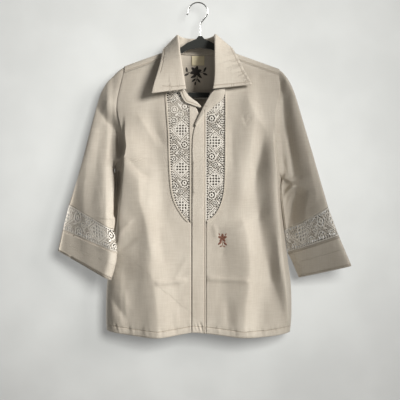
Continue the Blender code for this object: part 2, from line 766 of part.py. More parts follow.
CUFF = {
    RIGHT: (
        (-0.3545, -0.5995, -0.2095, -0.6560, -0.040, -0.052, 0.022),
        (-0.3610, -0.6280, -0.2100, -0.6830, -0.041, -0.053, 0.021),
        (-0.3665, -0.6560, -0.2250, -0.7290, -0.042, -0.052, 0.020),
    ),
    LEFT: (
        (0.3645, -0.6135, 0.2405, -0.6595, -0.050, -0.014, 0.022),
        (0.3800, -0.6520, 0.2530, -0.6930, -0.052, -0.018, 0.021),
        (0.3955, -0.6910, 0.2675, -0.7260, -0.054, -0.022, 0.020),
    ),
}
SLEEVE_FOLDS = {
    RIGHT: (
        {"z": (-0.23, -0.30, -0.44), "x": (-0.2130, -0.2160, -0.2130),
         "left": 0.012, "right": 0.012, "height": -0.010, "fade": (0.05, 0.05)},
        {"z": (-0.30, -0.42, -0.56), "x": (-0.2480, -0.2700, -0.2820),
         "left": 0.016, "right": 0.016, "height": -0.010, "fade": (0.08, 0.06)},
    ),
    LEFT: (
        {"z": (-0.19, -0.294, -0.382, -0.48), "x": (0.2230, 0.2320, 0.2450, 0.2580),
         "left": 0.007, "right": 0.010, "height": -0.014, "fade": (0.04, 0.03)},
        {"z": (-0.20, -0.32, -0.4675), "x": (0.2120, 0.2240, 0.2440),
         "left": 0.016, "right": 0.014, "height": 0.013, "fade": (0.06, 0.02)},
        {"z": (-0.4675, -0.54, -0.60), "x": (0.2440, 0.2450, 0.2460),
         "left": 0.016, "right": 0.008, "height": -0.014, "fade": (0.02, 0.05)},
    ),
}
ARMHOLE_GAP = 0.0016
SHOULDER_BLENDS = (0.3, 0.65)
SHOULDER_BULGE = 0.0065

# Near the armpit the sleeve stands off the side seam: how far out, how much of that down, and
# the share of the way down the armhole where it starts, and how long it takes
PIT_CLEARANCE = {"out": 0.0032, "down": 0.3, "start": 0.60, "length": 0.25}


def armhole_ring(hand):
    """The armhole seam on the panels' own edges, from the shoulder down the front and up the back."""
    tips = [over_shoulder(*outer) for _, outer in yoke_columns(hand)[:ARMHOLE_COLUMNS]]

    def edge(rows, side, place):
        return [place(hand * outer_arc(hand, h, side), h) for h in rows if h > ARMPIT[hand]]

    down = tips[SUMMIT::-1] + edge(FRONT_ROWS, "front", front)
    up = tips[SUMMIT + 1 :] + edge(BACK_ROWS, "back", back)
    pit = front(hand * outer_arc(hand, ARMPIT[hand], "front"), ARMPIT[hand])
    return [*down, pit, *up[::-1]], len(down)


def ring_turns(ring, pit):
    """Cosine and sine of each ring point's turn, from its share of the way round to the armpit."""
    turns = []
    for start, stop, sign in ((0, pit, 1), (pit, len(ring), -1)):
        line = [ring[k % len(ring)] for k in range(start, stop + 1)]
        lengths = [0.0]
        for a, b in zip(line, line[1:]):
            lengths.append(lengths[-1] + (b - a).length)
        for length in lengths[:-1]:
            share = length / lengths[-1]
            cosine = sign * (1 - 2 * share)
            turns.append((cosine, sign * math.sqrt(max(0.0, 1 - cosine**2))))
    return turns


def ring_from(row, folds, turns):
    """A sleeve ring: it starts at the outer point and goes over the front to the inner one."""
    spec = dict(zip(SLEEVE_COLUMNS, row))
    outer = Vector((spec["outer_x"], spec["outer_y"], spec["outer_z"]))
    inner = Vector((spec["inner_x"], spec["inner_y"], spec["inner_z"]))
    centre, arm = (outer + inner) / 2, (outer - inner) / 2
    points = []
    for cosine, sine in turns:
        point = centre + arm * cosine
        point.y -= spec["half_depth"] * sine
        if sine > 0:
            point.y -= relief(folds, point.x, point.z) * sine
        points.append(point)
    return points


def trimmed(rings, start, end):
    """Rings with the first and last pulled in along the tube by the gaps of its seams."""
    first = [a + (b - a).normalized() * start for a, b in zip(rings[0], rings[1])]
    last = [a + (b - a).normalized() * end for a, b in zip(rings[-1], rings[-2])]
    return [first, *rings[1:-1], last]


def set_off(armhole, turns, hand):
    """The armhole ring moved outwards near the armpit, where the sleeve passes over the side seam."""
    moved = []
    for point, (cosine, _) in zip(armhole, turns):
        out = PIT_CLEARANCE["out"] * ease((-cosine - PIT_CLEARANCE["start"]) / PIT_CLEARANCE["length"])
        moved.append(point + Vector((hand * out, 0, -PIT_CLEARANCE["down"] * out)))
    return moved


def shoulder_rings(armhole, first, turns):
    """Rings between the armhole and the first ring of the table, bulging up at the shoulder's end."""
    rings = []
    for share in SHOULDER_BLENDS:
        rise = SHOULDER_BULGE * 4 * share * (1 - share)
        ring = []
        for start, end, (cosine, _) in zip(armhole, first, turns):
            ring.append(start.lerp(end, share) + Vector((0, 0, rise * max(0.0, cosine) ** 3)))
        rings.append(ring)
    return rings


def sleeve_pieces(hand, word):
    """The sleeve, its lace band and its cuff, all tubes of rings with the same turns."""
    armhole, pit = armhole_ring(hand)
    turns = ring_turns(armhole, pit)
    armhole = set_off(armhole, turns, hand)
    rings = [ring_from(row, SLEEVE_FOLDS[hand], turns) for row in SLEEVE[hand]]
    rings = [armhole, *shoulder_rings(armhole, rings[0], turns), *rings]
    lace = [ring_from(row, SLEEVE_FOLDS[hand], turns) for row in LACE_BAND[hand]]
    cuff = [ring_from(row, (), turns) for row in CUFF[hand]]
    flip = hand == RIGHT
    sheet(f"sleeve_{word}", trimmed(rings, ARMHOLE_GAP, SEAM / 2), TWILL, closed=True, flip=flip)
    sheet(f"sleeve_lace_{word}", trimmed(lace, SEAM, SEAM), LACEWORK, LACE, closed=True, flip=flip)
    sheet(f"cuff_{word}", trimmed(cuff, SEAM, 0.0), TWILL, closed=True, flip=flip)


# Collar: a seam edge, a roll and a leaf edge, each a line from the right end round the back

COLLAR_FRONT_Z = (-0.2310, -0.2120, -0.1900, -0.1660)
COLLAR_GAP = 0.00125

# Roll line and leaf edge by station: 0 at the right front end, 17 at the back, 34 at the left end
COLLAR_COLUMNS = ("station", "roll_x", "roll_y", "roll_z", "leaf_x", "leaf_y", "leaf_z")
COLLAR = (
    (0, -0.0318, -0.0480, -0.2337, -0.1219, -0.0410, -0.2465),
    (1, -0.0350, -0.0480, -0.2120, -0.1165, -0.0400, -0.2270),
    (2, -0.0385, -0.0465, -0.1900, -0.1110, -0.0375, -0.2080),
    (3, -0.0425, -0.0440, -0.1650, -0.1045, -0.0330, -0.1870),
    (4, -0.0460, -0.0395, -0.1420, -0.0985, -0.0260, -0.1620),
    (6, -0.0495, -0.0280, -0.1080, -0.0945, -0.0150, -0.1400),
    (8, -0.0525, -0.0110, -0.0860, -0.0920, -0.0010, -0.1210),
    (10, -0.0500, 0.0080, -0.0855, -0.0905, 0.0170, -0.1240),
    (12, -0.0420, 0.0240, -0.0870, -0.0810, 0.0370, -0.1370),
    (14, -0.0290, 0.0340, -0.0885, -0.0560, 0.0490, -0.1470),
    (17, -0.0010, 0.0385, -0.0890, -0.0010, 0.0550, -0.1520),
    (20, 0.0240, 0.0340, -0.0885, 0.0470, 0.0490, -0.1470),
    (22, 0.0350, 0.0240, -0.0865, 0.0720, 0.0370, -0.1360),
    (24, 0.0420, 0.0080, -0.0845, 0.0845, 0.0170, -0.1230),
    (26, 0.0440, -0.0110, -0.0840, 0.0890, -0.0010, -0.1180),
    (28, 0.0436, -0.0280, -0.1060, 0.0950, -0.0150, -0.1300),
    (30, 0.0432, -0.0395, -0.1400, 0.1040, -0.0260, -0.1480),
    (31, 0.0436, -0.0440, -0.1640, 0.1140, -0.0330, -0.1690),
    (32, 0.0440, -0.0465, -0.1880, 0.1230, -0.0375, -0.1870),
    (33, 0.0430, -0.0480, -0.2110, 0.1325, -0.0400, -0.2040),
    (34, 0.0392, -0.0480, -0.2332, 0.1420, -0.0410, -0.2213),
)
ROLL_RADIUS = 0.0032
FALL_SHARES = (0.3, 0.65, 1)


def neck_seam():
    """The neck edge that the collar is sewn to, from the right front round the back to the left."""

    def front_edge(hand):
        edge = [(at(*NECKLINE[hand], z), z) for z in COLLAR_FRONT_Z]
        return [front(x, height_of(x, z)) for x, z in edge]

    yoke_edge = [yoke_point(*column, 0) for column in all_yoke_columns()]
    return front_edge(RIGHT) + yoke_edge + front_edge(LEFT)[::-1]


def collar():
    columns = dict(zip(COLLAR_COLUMNS, zip(*COLLAR)))
    rows = []
    for station, edge in enumerate(neck_seam()):
        roll, leaf = (
            Vector([at(columns["station"], columns[f"{part}_{axis}"], station) for axis in "xyz"])
            for part in ("roll", "leaf")
        )
        seam = edge + (roll - edge).normalized() * COLLAR_GAP
        stand, fall = (seam - roll).normalized(), (leaf - roll).normalized()
        inward, across = (stand + fall).normalized(), (fall - stand).normalized()
        half_angle = math.acos(min(1.0, fall.dot(inward)))
        centre = roll + inward * ROLL_RADIUS
        sweep = math.pi / 2 - half_angle
        turn = [
            centre + (across * math.sin(phi) - inward * math.cos(phi)) * ROLL_RADIUS
            for phi in steps(-sweep, sweep, 3)
        ]
        stand_line = [seam, seam.lerp(turn[0], 0.5)]
        fall_line = [turn[-1].lerp(leaf, share) for share in FALL_SHARES]
        rows.append([*stand_line, *turn, *fall_line])
    return sheet("collar", rows, TWILL, flip=True)


LABEL_HALF = 0.0170
LABEL_SHARES = (0.01, 0.12, 0.235)


def neck_label():
    """A small blank tab under the collar seam, inside the back neck, on the yoke's own points."""
    count = len(all_yoke_columns())
    near = all_yoke_columns()[count // 2 - 1 : count // 2 + 2]
    lift = Vector((0, -(CLOTH / 2 + SEAM + TRIM / 2 + CLEARANCE), 0))
    rows = []
    for share in LABEL_SHARES:
        right, middle, left = (yoke_point(*column, share) for column in near)
        ends = [
            middle.lerp(side, (hand * LABEL_HALF - middle.x) / (side.x - middle.x))
            for hand, side in ((RIGHT, right), (LEFT, left))
        ]
        rows.append([point + lift for point in (ends[0], middle, ends[1])])
    return sheet("neck_label", rows, TAPE, TRIM, flip=True)


# Hanger: one flocked frame of two arms and a bar, and its wire hook

HUB_X = 0.0060
HUB_TOP = -0.0875
HANGER_HALF_THICK = 0.0028
HANGER_BEVEL = 0.0008
HANGER_DROP = 0.0022
HANGER_TIP = {RIGHT: 0.2030, LEFT: 0.2140}

# Half of the frame's outer edge. The hub: distance from its middle, and height. Then the arm:
# distance from the shirt's middle, and drop below the shoulder cloth. Then the rounded end:
# distance in from the tip, and drop below the arm's end. Then the bar's lower edge.
HUB_EDGE = ((0.0045, HUB_TOP), (0.0110, -0.0955), (0.0240, -0.1010), (0.0380, -0.1080), (0.0500, -0.1170))
ARM_EDGE = ((0.067, 0.0030), (0.090, 0.0010), (0.120, 0.0), (0.150, 0.0))
ARM_END = 0.0160
END_EDGE = ((0.0055, 0.0070), (0.0015, 0.0140), (0.0020, 0.0240), (0.0085, 0.0330), (0.0220, 0.0440))
BAR_END = (0.0400, -0.2470)
BAR_EDGE = (0.1450, -0.2500)

# Half of the window inside the frame: distance from the hub's middle, and height
WINDOW = (
    (0.0, -0.1190), (0.030, -0.1230), (0.060, -0.1385), (0.095, -0.1540), (0.130, -0.1680),
    (0.158, -0.1800), (0.1720, -0.1900), (0.1760, -0.2000), (0.1700, -0.2160), (0.1560, -0.2310),
    (0.1400, -0.2375),
)


def arm_outline(hand):
    """Half of the frame's outer edge in the front view: from the hub over the arm to the bar."""
    tip = HANGER_TIP[hand]
    shoulder = ridge(tip - ARM_END) - HANGER_DROP
    edge = [(HUB_X + hand * x, z) for x, z in HUB_EDGE]
    edge += [(hand * x, ridge(x) - HANGER_DROP - more) for x, more in ARM_EDGE]
    edge.append((hand * (tip - ARM_END), shoulder))
    edge += [(hand * (tip - inwards), shoulder - down) for inwards, down in END_EDGE]
    edge.append((hand * (tip - BAR_END[0]), BAR_END[1]))
    edge.append((hand * BAR_EDGE[0], BAR_EDGE[1]))
    return edge


def hanger_frame():
    outline = arm_outline(LEFT) + arm_outline(RIGHT)[::-1]
    hole = [(HUB_X + x, z) for x, z in WINDOW] + [(HUB_X - x, z) for x, z in WINDOW[:0:-1]]
    curve = bpy.data.curves.new("hanger_frame", "CURVE")
    curve.dimensions = "2D"
    curve.fill_mode = "BOTH"
    curve.extrude = HANGER_HALF_THICK - HANGER_BEVEL
    curve.bevel_depth = HANGER_BEVEL
    curve.bevel_resolution = 0
    curve.offset = -HANGER_BEVEL
    for line in (outline, hole):
        spline = curve.splines.new("POLY")
        spline.points.add(len(line) - 1)
        for point, (x, z) in zip(spline.points, line):
            point.co = (x, z, 0, 1)
        spline.use_cyclic_u = True
    obj = bpy.data.objects.new("hanger_frame", curve)
    bpy.context.scene.collection.objects.link(obj)
    curve.materials.append(FLOCK)
    obj.rotation_euler = (math.pi / 2, 0, 0)
    return obj


WIRE = 0.0016
HOOK_RADIUS = 0.0262
WIRE_NECK = ((HUB_X, HUB_TOP + SEAM), (HUB_X, -0.0700), (HUB_X, -0.0590), (0.0085, -0.0515),
             (0.0140, -0.0450), (0.0195, -0.0385), (0.0236, -0.0320))
HOOK_TURN = range(-10, 181, 19)
WIRE_TIP = ((-0.0272, -0.0285), (-0.0300, -0.0320))


def hanger_hook():
    """Wire from the hub up, round over the top and down to a short turned tip."""
    line = list(WIRE_NECK)
    for degrees in HOOK_TURN:
        turn = math.radians(degrees)
        line.append((HOOK_RADIUS * math.cos(turn), HOOK_RADIUS * (math.sin(turn) - 1) + WIRE))
    line += WIRE_TIP
    curve = bpy.data.curves.new("hanger_hook", "CURVE")
    curve.dimensions = "3D"
    curve.bevel_depth = WIRE
    curve.bevel_resolution = 2
    curve.use_fill_caps = True
    spline = curve.splines.new("POLY")
    spline.points.add(len(line) - 1)
    for point, (x, z) in zip(spline.points, line):
        point.co = (x, 0, z, 1)
    obj = bpy.data.objects.new("hanger_hook", curve)
    bpy.context.scene.collection.objects.link(obj)
    curve.materials.append(CHROME)
    return obj


hanger_frame()
hanger_hook()
back_panel()
back_yoke()
front_panel(RIGHT, "front_right")
front_panel(LEFT, "front_left")
lace_inset(RIGHT, "lace_inset_right")
lace_inset(LEFT, "lace_inset_left")
inset_trim(RIGHT, "inset_trim_right")
inset_trim(LEFT, "inset_trim_left")
button_band()
fly_placket()
lapel(RIGHT, "facing_right")
lapel(LEFT, "facing_left")
collar()
neck_label()
sleeve_pieces(RIGHT, "right")
sleeve_pieces(LEFT, "left")
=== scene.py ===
# %% [markdown]
# # An island dress shirt on its hanger
# The CAD model gives every panel of the shirt as a plain thin wall. This script dresses them:
# it refines each wall, presses the creases of hanging cloth into it, lays lace and stitches on
# it and gives it a finish. The cells run from top to bottom, and each one prints what it made.

# %% Load the frame
import json
import math

import bmesh
import bpy
import numpy as np
from mathutils import Matrix, Vector
from mathutils.bvhtree import BVHTree
from mathutils.kdtree import KDTree

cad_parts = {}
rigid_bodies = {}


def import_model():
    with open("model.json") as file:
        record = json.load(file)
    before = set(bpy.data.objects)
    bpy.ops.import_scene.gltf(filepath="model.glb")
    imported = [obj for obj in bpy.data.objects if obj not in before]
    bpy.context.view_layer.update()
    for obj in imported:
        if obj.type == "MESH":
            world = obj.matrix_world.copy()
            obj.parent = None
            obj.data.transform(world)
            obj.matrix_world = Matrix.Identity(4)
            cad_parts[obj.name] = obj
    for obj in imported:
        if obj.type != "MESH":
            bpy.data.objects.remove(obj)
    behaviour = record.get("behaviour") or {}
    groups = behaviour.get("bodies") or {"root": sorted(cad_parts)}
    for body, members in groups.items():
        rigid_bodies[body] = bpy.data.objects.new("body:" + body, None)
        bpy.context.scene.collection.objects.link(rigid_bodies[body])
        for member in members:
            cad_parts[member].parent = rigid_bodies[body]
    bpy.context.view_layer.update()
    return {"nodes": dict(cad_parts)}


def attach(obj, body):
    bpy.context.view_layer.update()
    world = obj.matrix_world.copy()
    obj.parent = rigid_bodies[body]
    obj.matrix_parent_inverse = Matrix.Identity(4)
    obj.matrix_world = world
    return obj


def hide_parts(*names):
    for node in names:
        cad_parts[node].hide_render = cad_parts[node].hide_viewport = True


for old in list(bpy.data.objects):
    bpy.data.objects.remove(old, do_unlink=True)
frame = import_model()
nodes = frame["nodes"]
print("panels and hanger parts:", len(nodes))

# %% [markdown]
# ## The room
# The shirt hangs just in front of a pale wall. The wall, the floor and a dark net beside the shirt
# are plain planes. The net is never seen itself: it only shades one side of the shirt, as a curtain
# would.

# %% Wall, floor and net
WALL_Y = 0.066
FLOOR_Z = -1.75
ROOM = 6.0
NET_EDGE, NET_RUN = (0.4507, -0.295), (0.664, 0.748)
NET_WIDTH, NET_LOW, NET_HIGH = 0.47, -1.2, 0.9
RIGHT_ANGLE = math.radians(90)


def add_piece(name, bm):
    """A finished bmesh as an object of the scene."""
    mesh = bpy.data.meshes.new(name)
    bm.to_mesh(mesh)
    bm.free()
    made = bpy.data.objects.new(name, mesh)
    bpy.context.scene.collection.objects.link(made)
    mesh.shade_smooth()
    return made


def plane(name, lift, turn):
    """A square of the room, made flat and then put in its place inside its mesh."""
    bm = bmesh.new()
    bmesh.ops.create_grid(bm, x_segments=1, y_segments=1, size=ROOM / 2)
    bmesh.ops.rotate(bm, verts=bm.verts, matrix=Matrix.Rotation(turn, 3, "X"))
    bmesh.ops.translate(bm, verts=bm.verts, vec=lift)
    return add_piece(name, bm)


def upright_net(name):
    """A sheet that stands on a slant beside the shirt."""
    bm = bmesh.new()
    corners = []
    for along, z in ((0, NET_LOW), (NET_WIDTH, NET_LOW), (NET_WIDTH, NET_HIGH), (0, NET_HIGH)):
        x, y = (edge + run * along for edge, run in zip(NET_EDGE, NET_RUN))
        corners.append(bm.verts.new((x, y, z)))
    bm.faces.new(corners)
    return add_piece(name, bm)


wall = plane("wall", (0, WALL_Y, FLOOR_Z + ROOM / 2), RIGHT_ANGLE)
floor = plane("floor", (0, WALL_Y - ROOM / 2, FLOOR_Z), 0)
net = upright_net("shade_net")
net.visible_camera = False
print("the wall is", WALL_Y, "m behind the hook")

# %% [markdown]
# ## The camera
# It stands at the height of the shirt's middle and looks straight at the wall, far enough away
# to flatten the shirt the way the photograph does.

# %% Camera
EYE = Vector((0.0053, -2.4, -0.522))
LENS = 81.5
NEAREST = 0.01
camera = bpy.data.objects.new("camera", bpy.data.cameras.new("camera"))
camera.data.lens = LENS
camera.data.clip_start = NEAREST
camera.location = EYE
camera.rotation_euler = (RIGHT_ANGLE, 0, 0)
bpy.context.scene.collection.objects.link(camera)
bpy.context.scene.camera = camera
print("camera", -EYE.y, "m in front of the shirt")

# %% [markdown]
# ## Light
# One wide window lights the shirt from the front, on the picture's right, and the net shades
# the edge that is nearest to it. A smaller lamp stands in for light that the room throws back:
# it reaches the wall alone, and the net doesn't shade it. A faint lamp fills the shadows, and
# one behind the wall, which doesn't stop it, lights the shirt's back.

# %% Lamps
MIDDLE = Vector((0, 0, -0.5))
LAMPS = {
    "window": ((4.65, -4.13, 1.85), 2.2, 640, (1.0, 0.98, 0.95)),
    "bounce": ((0.715, -2.87, 0.02), 0.87, 370, (0.99, 1.0, 0.98)),
    "rear": ((-2.2, 3.4, 1.3), 1.6, 120, (1.0, 0.98, 0.95)),
    "fill": ((-0.6, -3.0, 0.2), 2.6, 6, (1.0, 0.97, 0.95)),
}
PASSES = {"bounce": net, "rear": wall}


def light(name, place, size, power, colour):
    """A soft square lamp, aimed at the shirt's middle."""
    lamp = bpy.data.lights.new(name, "AREA")
    lamp.size = size
    lamp.energy = power
    lamp.color = colour
    made = bpy.data.objects.new(name, lamp)
    made.location = place
    made.rotation_euler = (MIDDLE - Vector(place)).to_track_quat("-Z", "Y").to_euler()
    bpy.context.scene.collection.objects.link(made)
    return made


def only(name, piece):
    """A collection with one piece in it, for a lamp to single out."""
    made = bpy.data.collections.new(name)
    made.objects.link(piece)
    return made


lamps = {name: light(name, *row) for name, row in LAMPS.items()}
lamps["bounce"].light_linking.receiver_collection = only("wall_alone", wall)
for name, piece in PASSES.items():
    blockers = only(f"all_but_{piece.name}", piece)
    blockers.collection_objects[0].light_linking.link_state = "EXCLUDE"
    lamps[name].light_linking.blocker_collection = blockers
print("lamps:", ", ".join(lamps))

# %% Air and view
AIR = (0.90, 0.85, 0.80, 1)
AIR_LIGHT = 0.055
AIR_SEEN = 0.62
GAMMA = 0.86
world = bpy.data.worlds.new("room")
world.use_nodes = True
air = world.node_tree.nodes
seen = air.new("ShaderNodeLightPath").outputs["Is Camera Ray"]
level = air.new("ShaderNodeMapRange")
level.inputs["To Min"].default_value = AIR_LIGHT
level.inputs["To Max"].default_value = AIR_SEEN
air["Background"].inputs["Color"].default_value = AIR
world.node_tree.links.new(seen, level.inputs["Value"])
world.node_tree.links.new(level.outputs["Result"], air["Background"].inputs["Strength"])
bpy.context.scene.world = world
bpy.context.scene.view_settings.view_transform = "Standard"
bpy.context.scene.view_settings.gamma = GAMMA
print("the air lights with", AIR_LIGHT, "and is seen as", AIR_SEEN)

# %% [markdown]
# ## Writing materials as sums
# A material's pattern is arithmetic on positions. The class below wraps one socket of a node
# tree, so that an expression such as `1 - mask * 0.4` adds the Math nodes for it.


# %% A socket that can be calculated with
COLOUR_RESULT = 2


class Signal:
    """One output of a material's nodes, which sums and products turn into Math nodes."""

    def __init__(self, tree, socket=None):
        self.tree = tree
        self.socket = socket

    def node(self, kind, settings=None, inputs=None, output=0):
        """Any node, by its type, its settings, which are set first, and its sockets' values."""
        made = self.tree.nodes.new(kind)
        for key, value in (settings or {}).items():
            setattr(made, key, value)
        for key, value in (inputs or {}).items():
            if isinstance(value, Signal):
                self.tree.links.new(value.socket, made.inputs[key])
            else:
                made.inputs[key].default_value = value
        return Signal(self.tree, made.outputs[output])

    def math(self, operation, *values):
        return self.node("ShaderNodeMath", {"operation": operation}, dict(enumerate(values)))

    def __add__(self, other):
        return self.math("ADD", self, other)

    def __sub__(self, other):
        return self.math("SUBTRACT", self, other)

    def __mul__(self, other):
        return self.math("MULTIPLY", self, other)

    def __rsub__(self, other):
        return self.math("SUBTRACT", other, self)

    __radd__ = __add__
    __rmul__ = __mul__

    def wave(self):
        return self.math("SINE", self)

    def band(self, low, high):
        """0 below low, 1 above high, and a soft step between."""
        settings = {"interpolation_type": "SMOOTHSTEP"}
        inputs = {"Value": self, "From Min": low, "From Max": high}
        return self.node("ShaderNodeMapRange", settings, inputs)

    def near(self, width):
        """1 where the value is zero, fading to 0 at this distance on both sides."""
        return 1 - self.math("ABSOLUTE", self).band(0.0, width)

    def between(self, first, second):
        """A colour on the way from the first to the second."""
        inputs = {"Factor": self, "A": (*first, 1), "B": (*second, 1)}
        return self.node("ShaderNodeMix", {"data_type": "RGBA"}, inputs, COLOUR_RESULT)


print("signals ready")

# %% [markdown]
# ## Finishes
# Each finish is a Principled shader, some of them with a fixed sheen, whose colour, roughness and
# bump come from the cloth's own structure: fine twill lines, slubs and slow unevenness.
# Painted shade darkens the twill along its sewn rows and the ground of the lace, and the wall's
# paint glows with painted light.


# %% Starting a finish
def principled(name, **constants):
    """A material, its Principled shader with these constants, and a start for its signals."""
    made = bpy.data.materials.new(name)
    made.use_nodes = True
    shader = made.node_tree.nodes["Principled BSDF"]
    for key, value in constants.items():
        shader.inputs[key.replace("_", " ").title()].default_value = value
    return made, shader, Signal(made.node_tree)


def feed(shader, signal, socket):
    """Link a signal to one socket of a shader."""
    signal.tree.links.new(signal.socket, shader.inputs[socket])


def noise(place, scale, detail=2.0):
    """Cloudy noise over a position; a larger scale makes it finer."""
    inputs = {"Vector": place, "Scale": scale, "Detail": detail}
    return place.node("ShaderNodeTexNoise", None, inputs)


def object_place(start):
    """The position in the piece's own coordinates, in metres."""
    return start.node("ShaderNodeTexCoord", output="Object")


def stretched(place, scale):
    """The position with its three numbers multiplied, which draws a pattern out the other way."""
    return place.node("ShaderNodeMapping", None, {"Vector": place, "Scale": scale})


def attribute(start, name):
    """A number that the mesh carries at its points."""
    return start.node("ShaderNodeAttribute", {"attribute_name": name}, output="Fac")


def bump(height, distance, strength):
    """A surface that looks raised by a height."""
    inputs = {"Height": height, "Distance": distance, "Strength": strength}
    return height.node("ShaderNodeBump", None, inputs)


print("helpers for finishes ready")

# %% [markdown]
# ### Cream twill
# A smooth, close dress twill. Its diagonal lines are under a millimetre apart, so they show as a
# soft grain, and the pressed surface has a faint sheen. The attribute `seam` on each panel is the
# distance to its nearest sewn line: there the thread pulls the cloth into a narrow groove, and the
# colour is darkened along it as painted shade.

# %% Cream twill
# The twill's lighter and darker tones, mixed at random; the darker one is also the painted shade in
# the grooves of the seams.
TWILL_LIT = (0.600, 0.560, 0.493)
TWILL_DARKER_AND_SEAM_SHADE = (0.480, 0.432, 0.368)
TWILL_PITCH = 0.0011
THREAD_GRAIN, SLUB_GRAIN, CLOUD_GRAIN = 520.0, 900.0, 9.0
UPRIGHT_THREADS, LEVEL_THREADS = (1.0, 0.2, 0.05), (0.05, 0.2, 1.0)
GROOVE = 0.0020
FULL_TURN = 2 * math.pi


def twill(name, lit, deep):
    """Dress twill: diagonal lines and crossing threads, with painted shade in the grooves of its
    seams.
    """
    made, shader, start = principled(name, roughness=0.72, sheen_weight=0.10, sheen_roughness=0.4)
    place = object_place(start)
    x, z = (place.node("ShaderNodeSeparateXYZ", None, {"Vector": place}, axis) for axis in "XZ")
    line = ((x + z) * (FULL_TURN / TWILL_PITCH)).wave()
    slub = noise(place, SLUB_GRAIN)
    cloud = noise(place, CLOUD_GRAIN, 3.0)
    warp = noise(stretched(place, UPRIGHT_THREADS), THREAD_GRAIN)
    weft = noise(stretched(place, LEVEL_THREADS), THREAD_GRAIN)
    thread = (warp + weft) * 0.5
    groove = attribute(start, "seam").near(GROOVE)
    tone = cloud.band(0.30, 0.70) * 0.30 + thread.band(0.36, 0.64) * 0.34 + slub * 0.2 + line * 0.05
    # Painted shade: along each sewn row the colour goes towards the darker tone, where the groove's
    # shadow falls.
    tone = tone + groove * 1.1
    feed(shader, tone.between(lit, deep), "Base Color")
    feed(shader, 0.62 + cloud * 0.16, "Roughness")
    height = line * 0.00005 + thread * 0.00022 + slub * 0.00008 - groove * 0.0010
    feed(shader, bump(height, 1.0, 0.8), "Normal")
    return made


CREAM = twill("cream_twill_cloth", TWILL_LIT, TWILL_DARKER_AND_SEAM_SHADE)
print("twill lines every", TWILL_PITCH * 1000, "mm, measured level")

# %% [markdown]
# ### Lace
# Machine lace: a ground of fine net, with motifs in brighter thread. The ground's dark colour is
# painted shade, for the shadow between and behind its threads. The meshes carry an attribute
# `motif`, near 1 on the raised thread and lower on the ground, and their place on the flat strip in
# `across` and `along`, so that the net runs with the lace round every bend.

# %% Lace
# The lace's thread colour, and the colour of its ground, which is painted shade.
LACE_THREAD = (0.74, 0.71, 0.655)
LACE_GROUND_PAINTED_SHADE = (0.31, 0.27, 0.22)
NET_PITCH = 0.0026
SATIN_PITCH = 0.0008
FRAY_GRAIN = 700.0


def lace(name):
    """Lace: a ground of crossing net lines painted dark as shade, and bright satin thread on the
    motifs.
    """
    made, shader, start = principled(name, sheen_weight=0.35, sheen_roughness=0.3)
    motif, across, along = (attribute(start, layer) for layer in ("motif", "across", "along"))
    first = ((across + along) * (FULL_TURN / NET_PITCH)).wave()
    second = ((across - along) * (FULL_TURN / NET_PITCH)).wave()
    fray = noise(object_place(start), FRAY_GRAIN)
    satin = ((across * 0.6 + along) * (FULL_TURN / SATIN_PITCH)).wave()
    # Painted shade: the ground is dark, and the lower thread is darker than the raised motifs, for
    # the shadow between and behind the threads.
    ground = first.math("MAXIMUM", first, second).band(0.05, 0.75) * 0.40
    ground = ground + motif * 0.34 + fray * 0.12
    tone = motif.band(0.55, 0.85)
    tone = ground * (1 - tone) + tone * (0.80 + fray * 0.18 + satin * 0.05)
    feed(shader, tone.band(0.0, 1.0).between(LACE_GROUND_PAINTED_SHADE, LACE_THREAD), "Base Color")
    feed(shader, 0.62 - tone * 0.26, "Roughness")
    feed(shader, bump(tone * 0.0006 + fray * 0.0002, 1.0, 0.9), "Normal")
    return made


LACEWORK = lace("silver_white_lacework")
print("lace lines every", NET_PITCH * 1000, "mm")

# %% [markdown]
# ### Thread, label, flock and wire
# The small finishes: sewing thread, the woven label, the hanger's short flock, its bright wire,
# and the colours of the embroidery and the print.

# %% Small finishes
GRAIN_BUMP = 0.6


def plain(name, lit, deep, scale, rough, relief, **constants):
    """A finish whose colour wanders a little, with a grain of the given scale."""
    made, shader, start = principled(name, **constants)
    grain = noise(object_place(start), scale, 3.0)
    feed(shader, grain.band(0.3, 0.7).between(lit, deep), "Base Color")
    feed(shader, rough + grain * 0.1, "Roughness")
    feed(shader, bump(grain, relief, GRAIN_BUMP), "Normal")
    return made


def coat(piece, finish):
    """Give a piece one finish and no other."""
    piece.data.materials.clear()
    piece.data.materials.append(finish)


THREAD = plain("cream_thread", (0.68, 0.61, 0.50), (0.56, 0.49, 0.40), 900, 0.5, 0.0002)
TAPE = plain("label_weave", (0.84, 0.77, 0.57), (0.74, 0.66, 0.46), 1400, 0.6, 0.0002)
FLOCK = plain("grey_flock_pile", (0.050, 0.054, 0.050), (0.024, 0.026, 0.024), 1100, 0.9, 0.0006,
              sheen_weight=0.5, sheen_roughness=0.5)
CHROME = plain("bright_plated_wire", (0.36, 0.36, 0.355), (0.27, 0.27, 0.27), 300, 0.25, 0.00002,
               metallic=1.0)
SPRIG = plain("brown_rose_thread", (0.30, 0.15, 0.105), (0.17, 0.085, 0.06), 1500, 0.5, 0.0003)
PRINT = plain("dark_print", (0.030, 0.027, 0.026), (0.060, 0.052, 0.046), 600, 0.7, 0.0001)
coat(nodes["hanger_frame"], FLOCK)
coat(nodes["hanger_hook"], CHROME)
print("materials so far:", len(bpy.data.materials))

# %% [markdown]
# ### The room's paint
# The wall's paint glows, by its distance from a point near the shirt: painted light, palest around
# the shirt and darker towards the corners of the picture, which also keeps the shirt's shadows on
# the wall faint. Seen from its rear the wall is clear, so that it never hides the shirt's back. The
# net lets a little less than half of the light through.

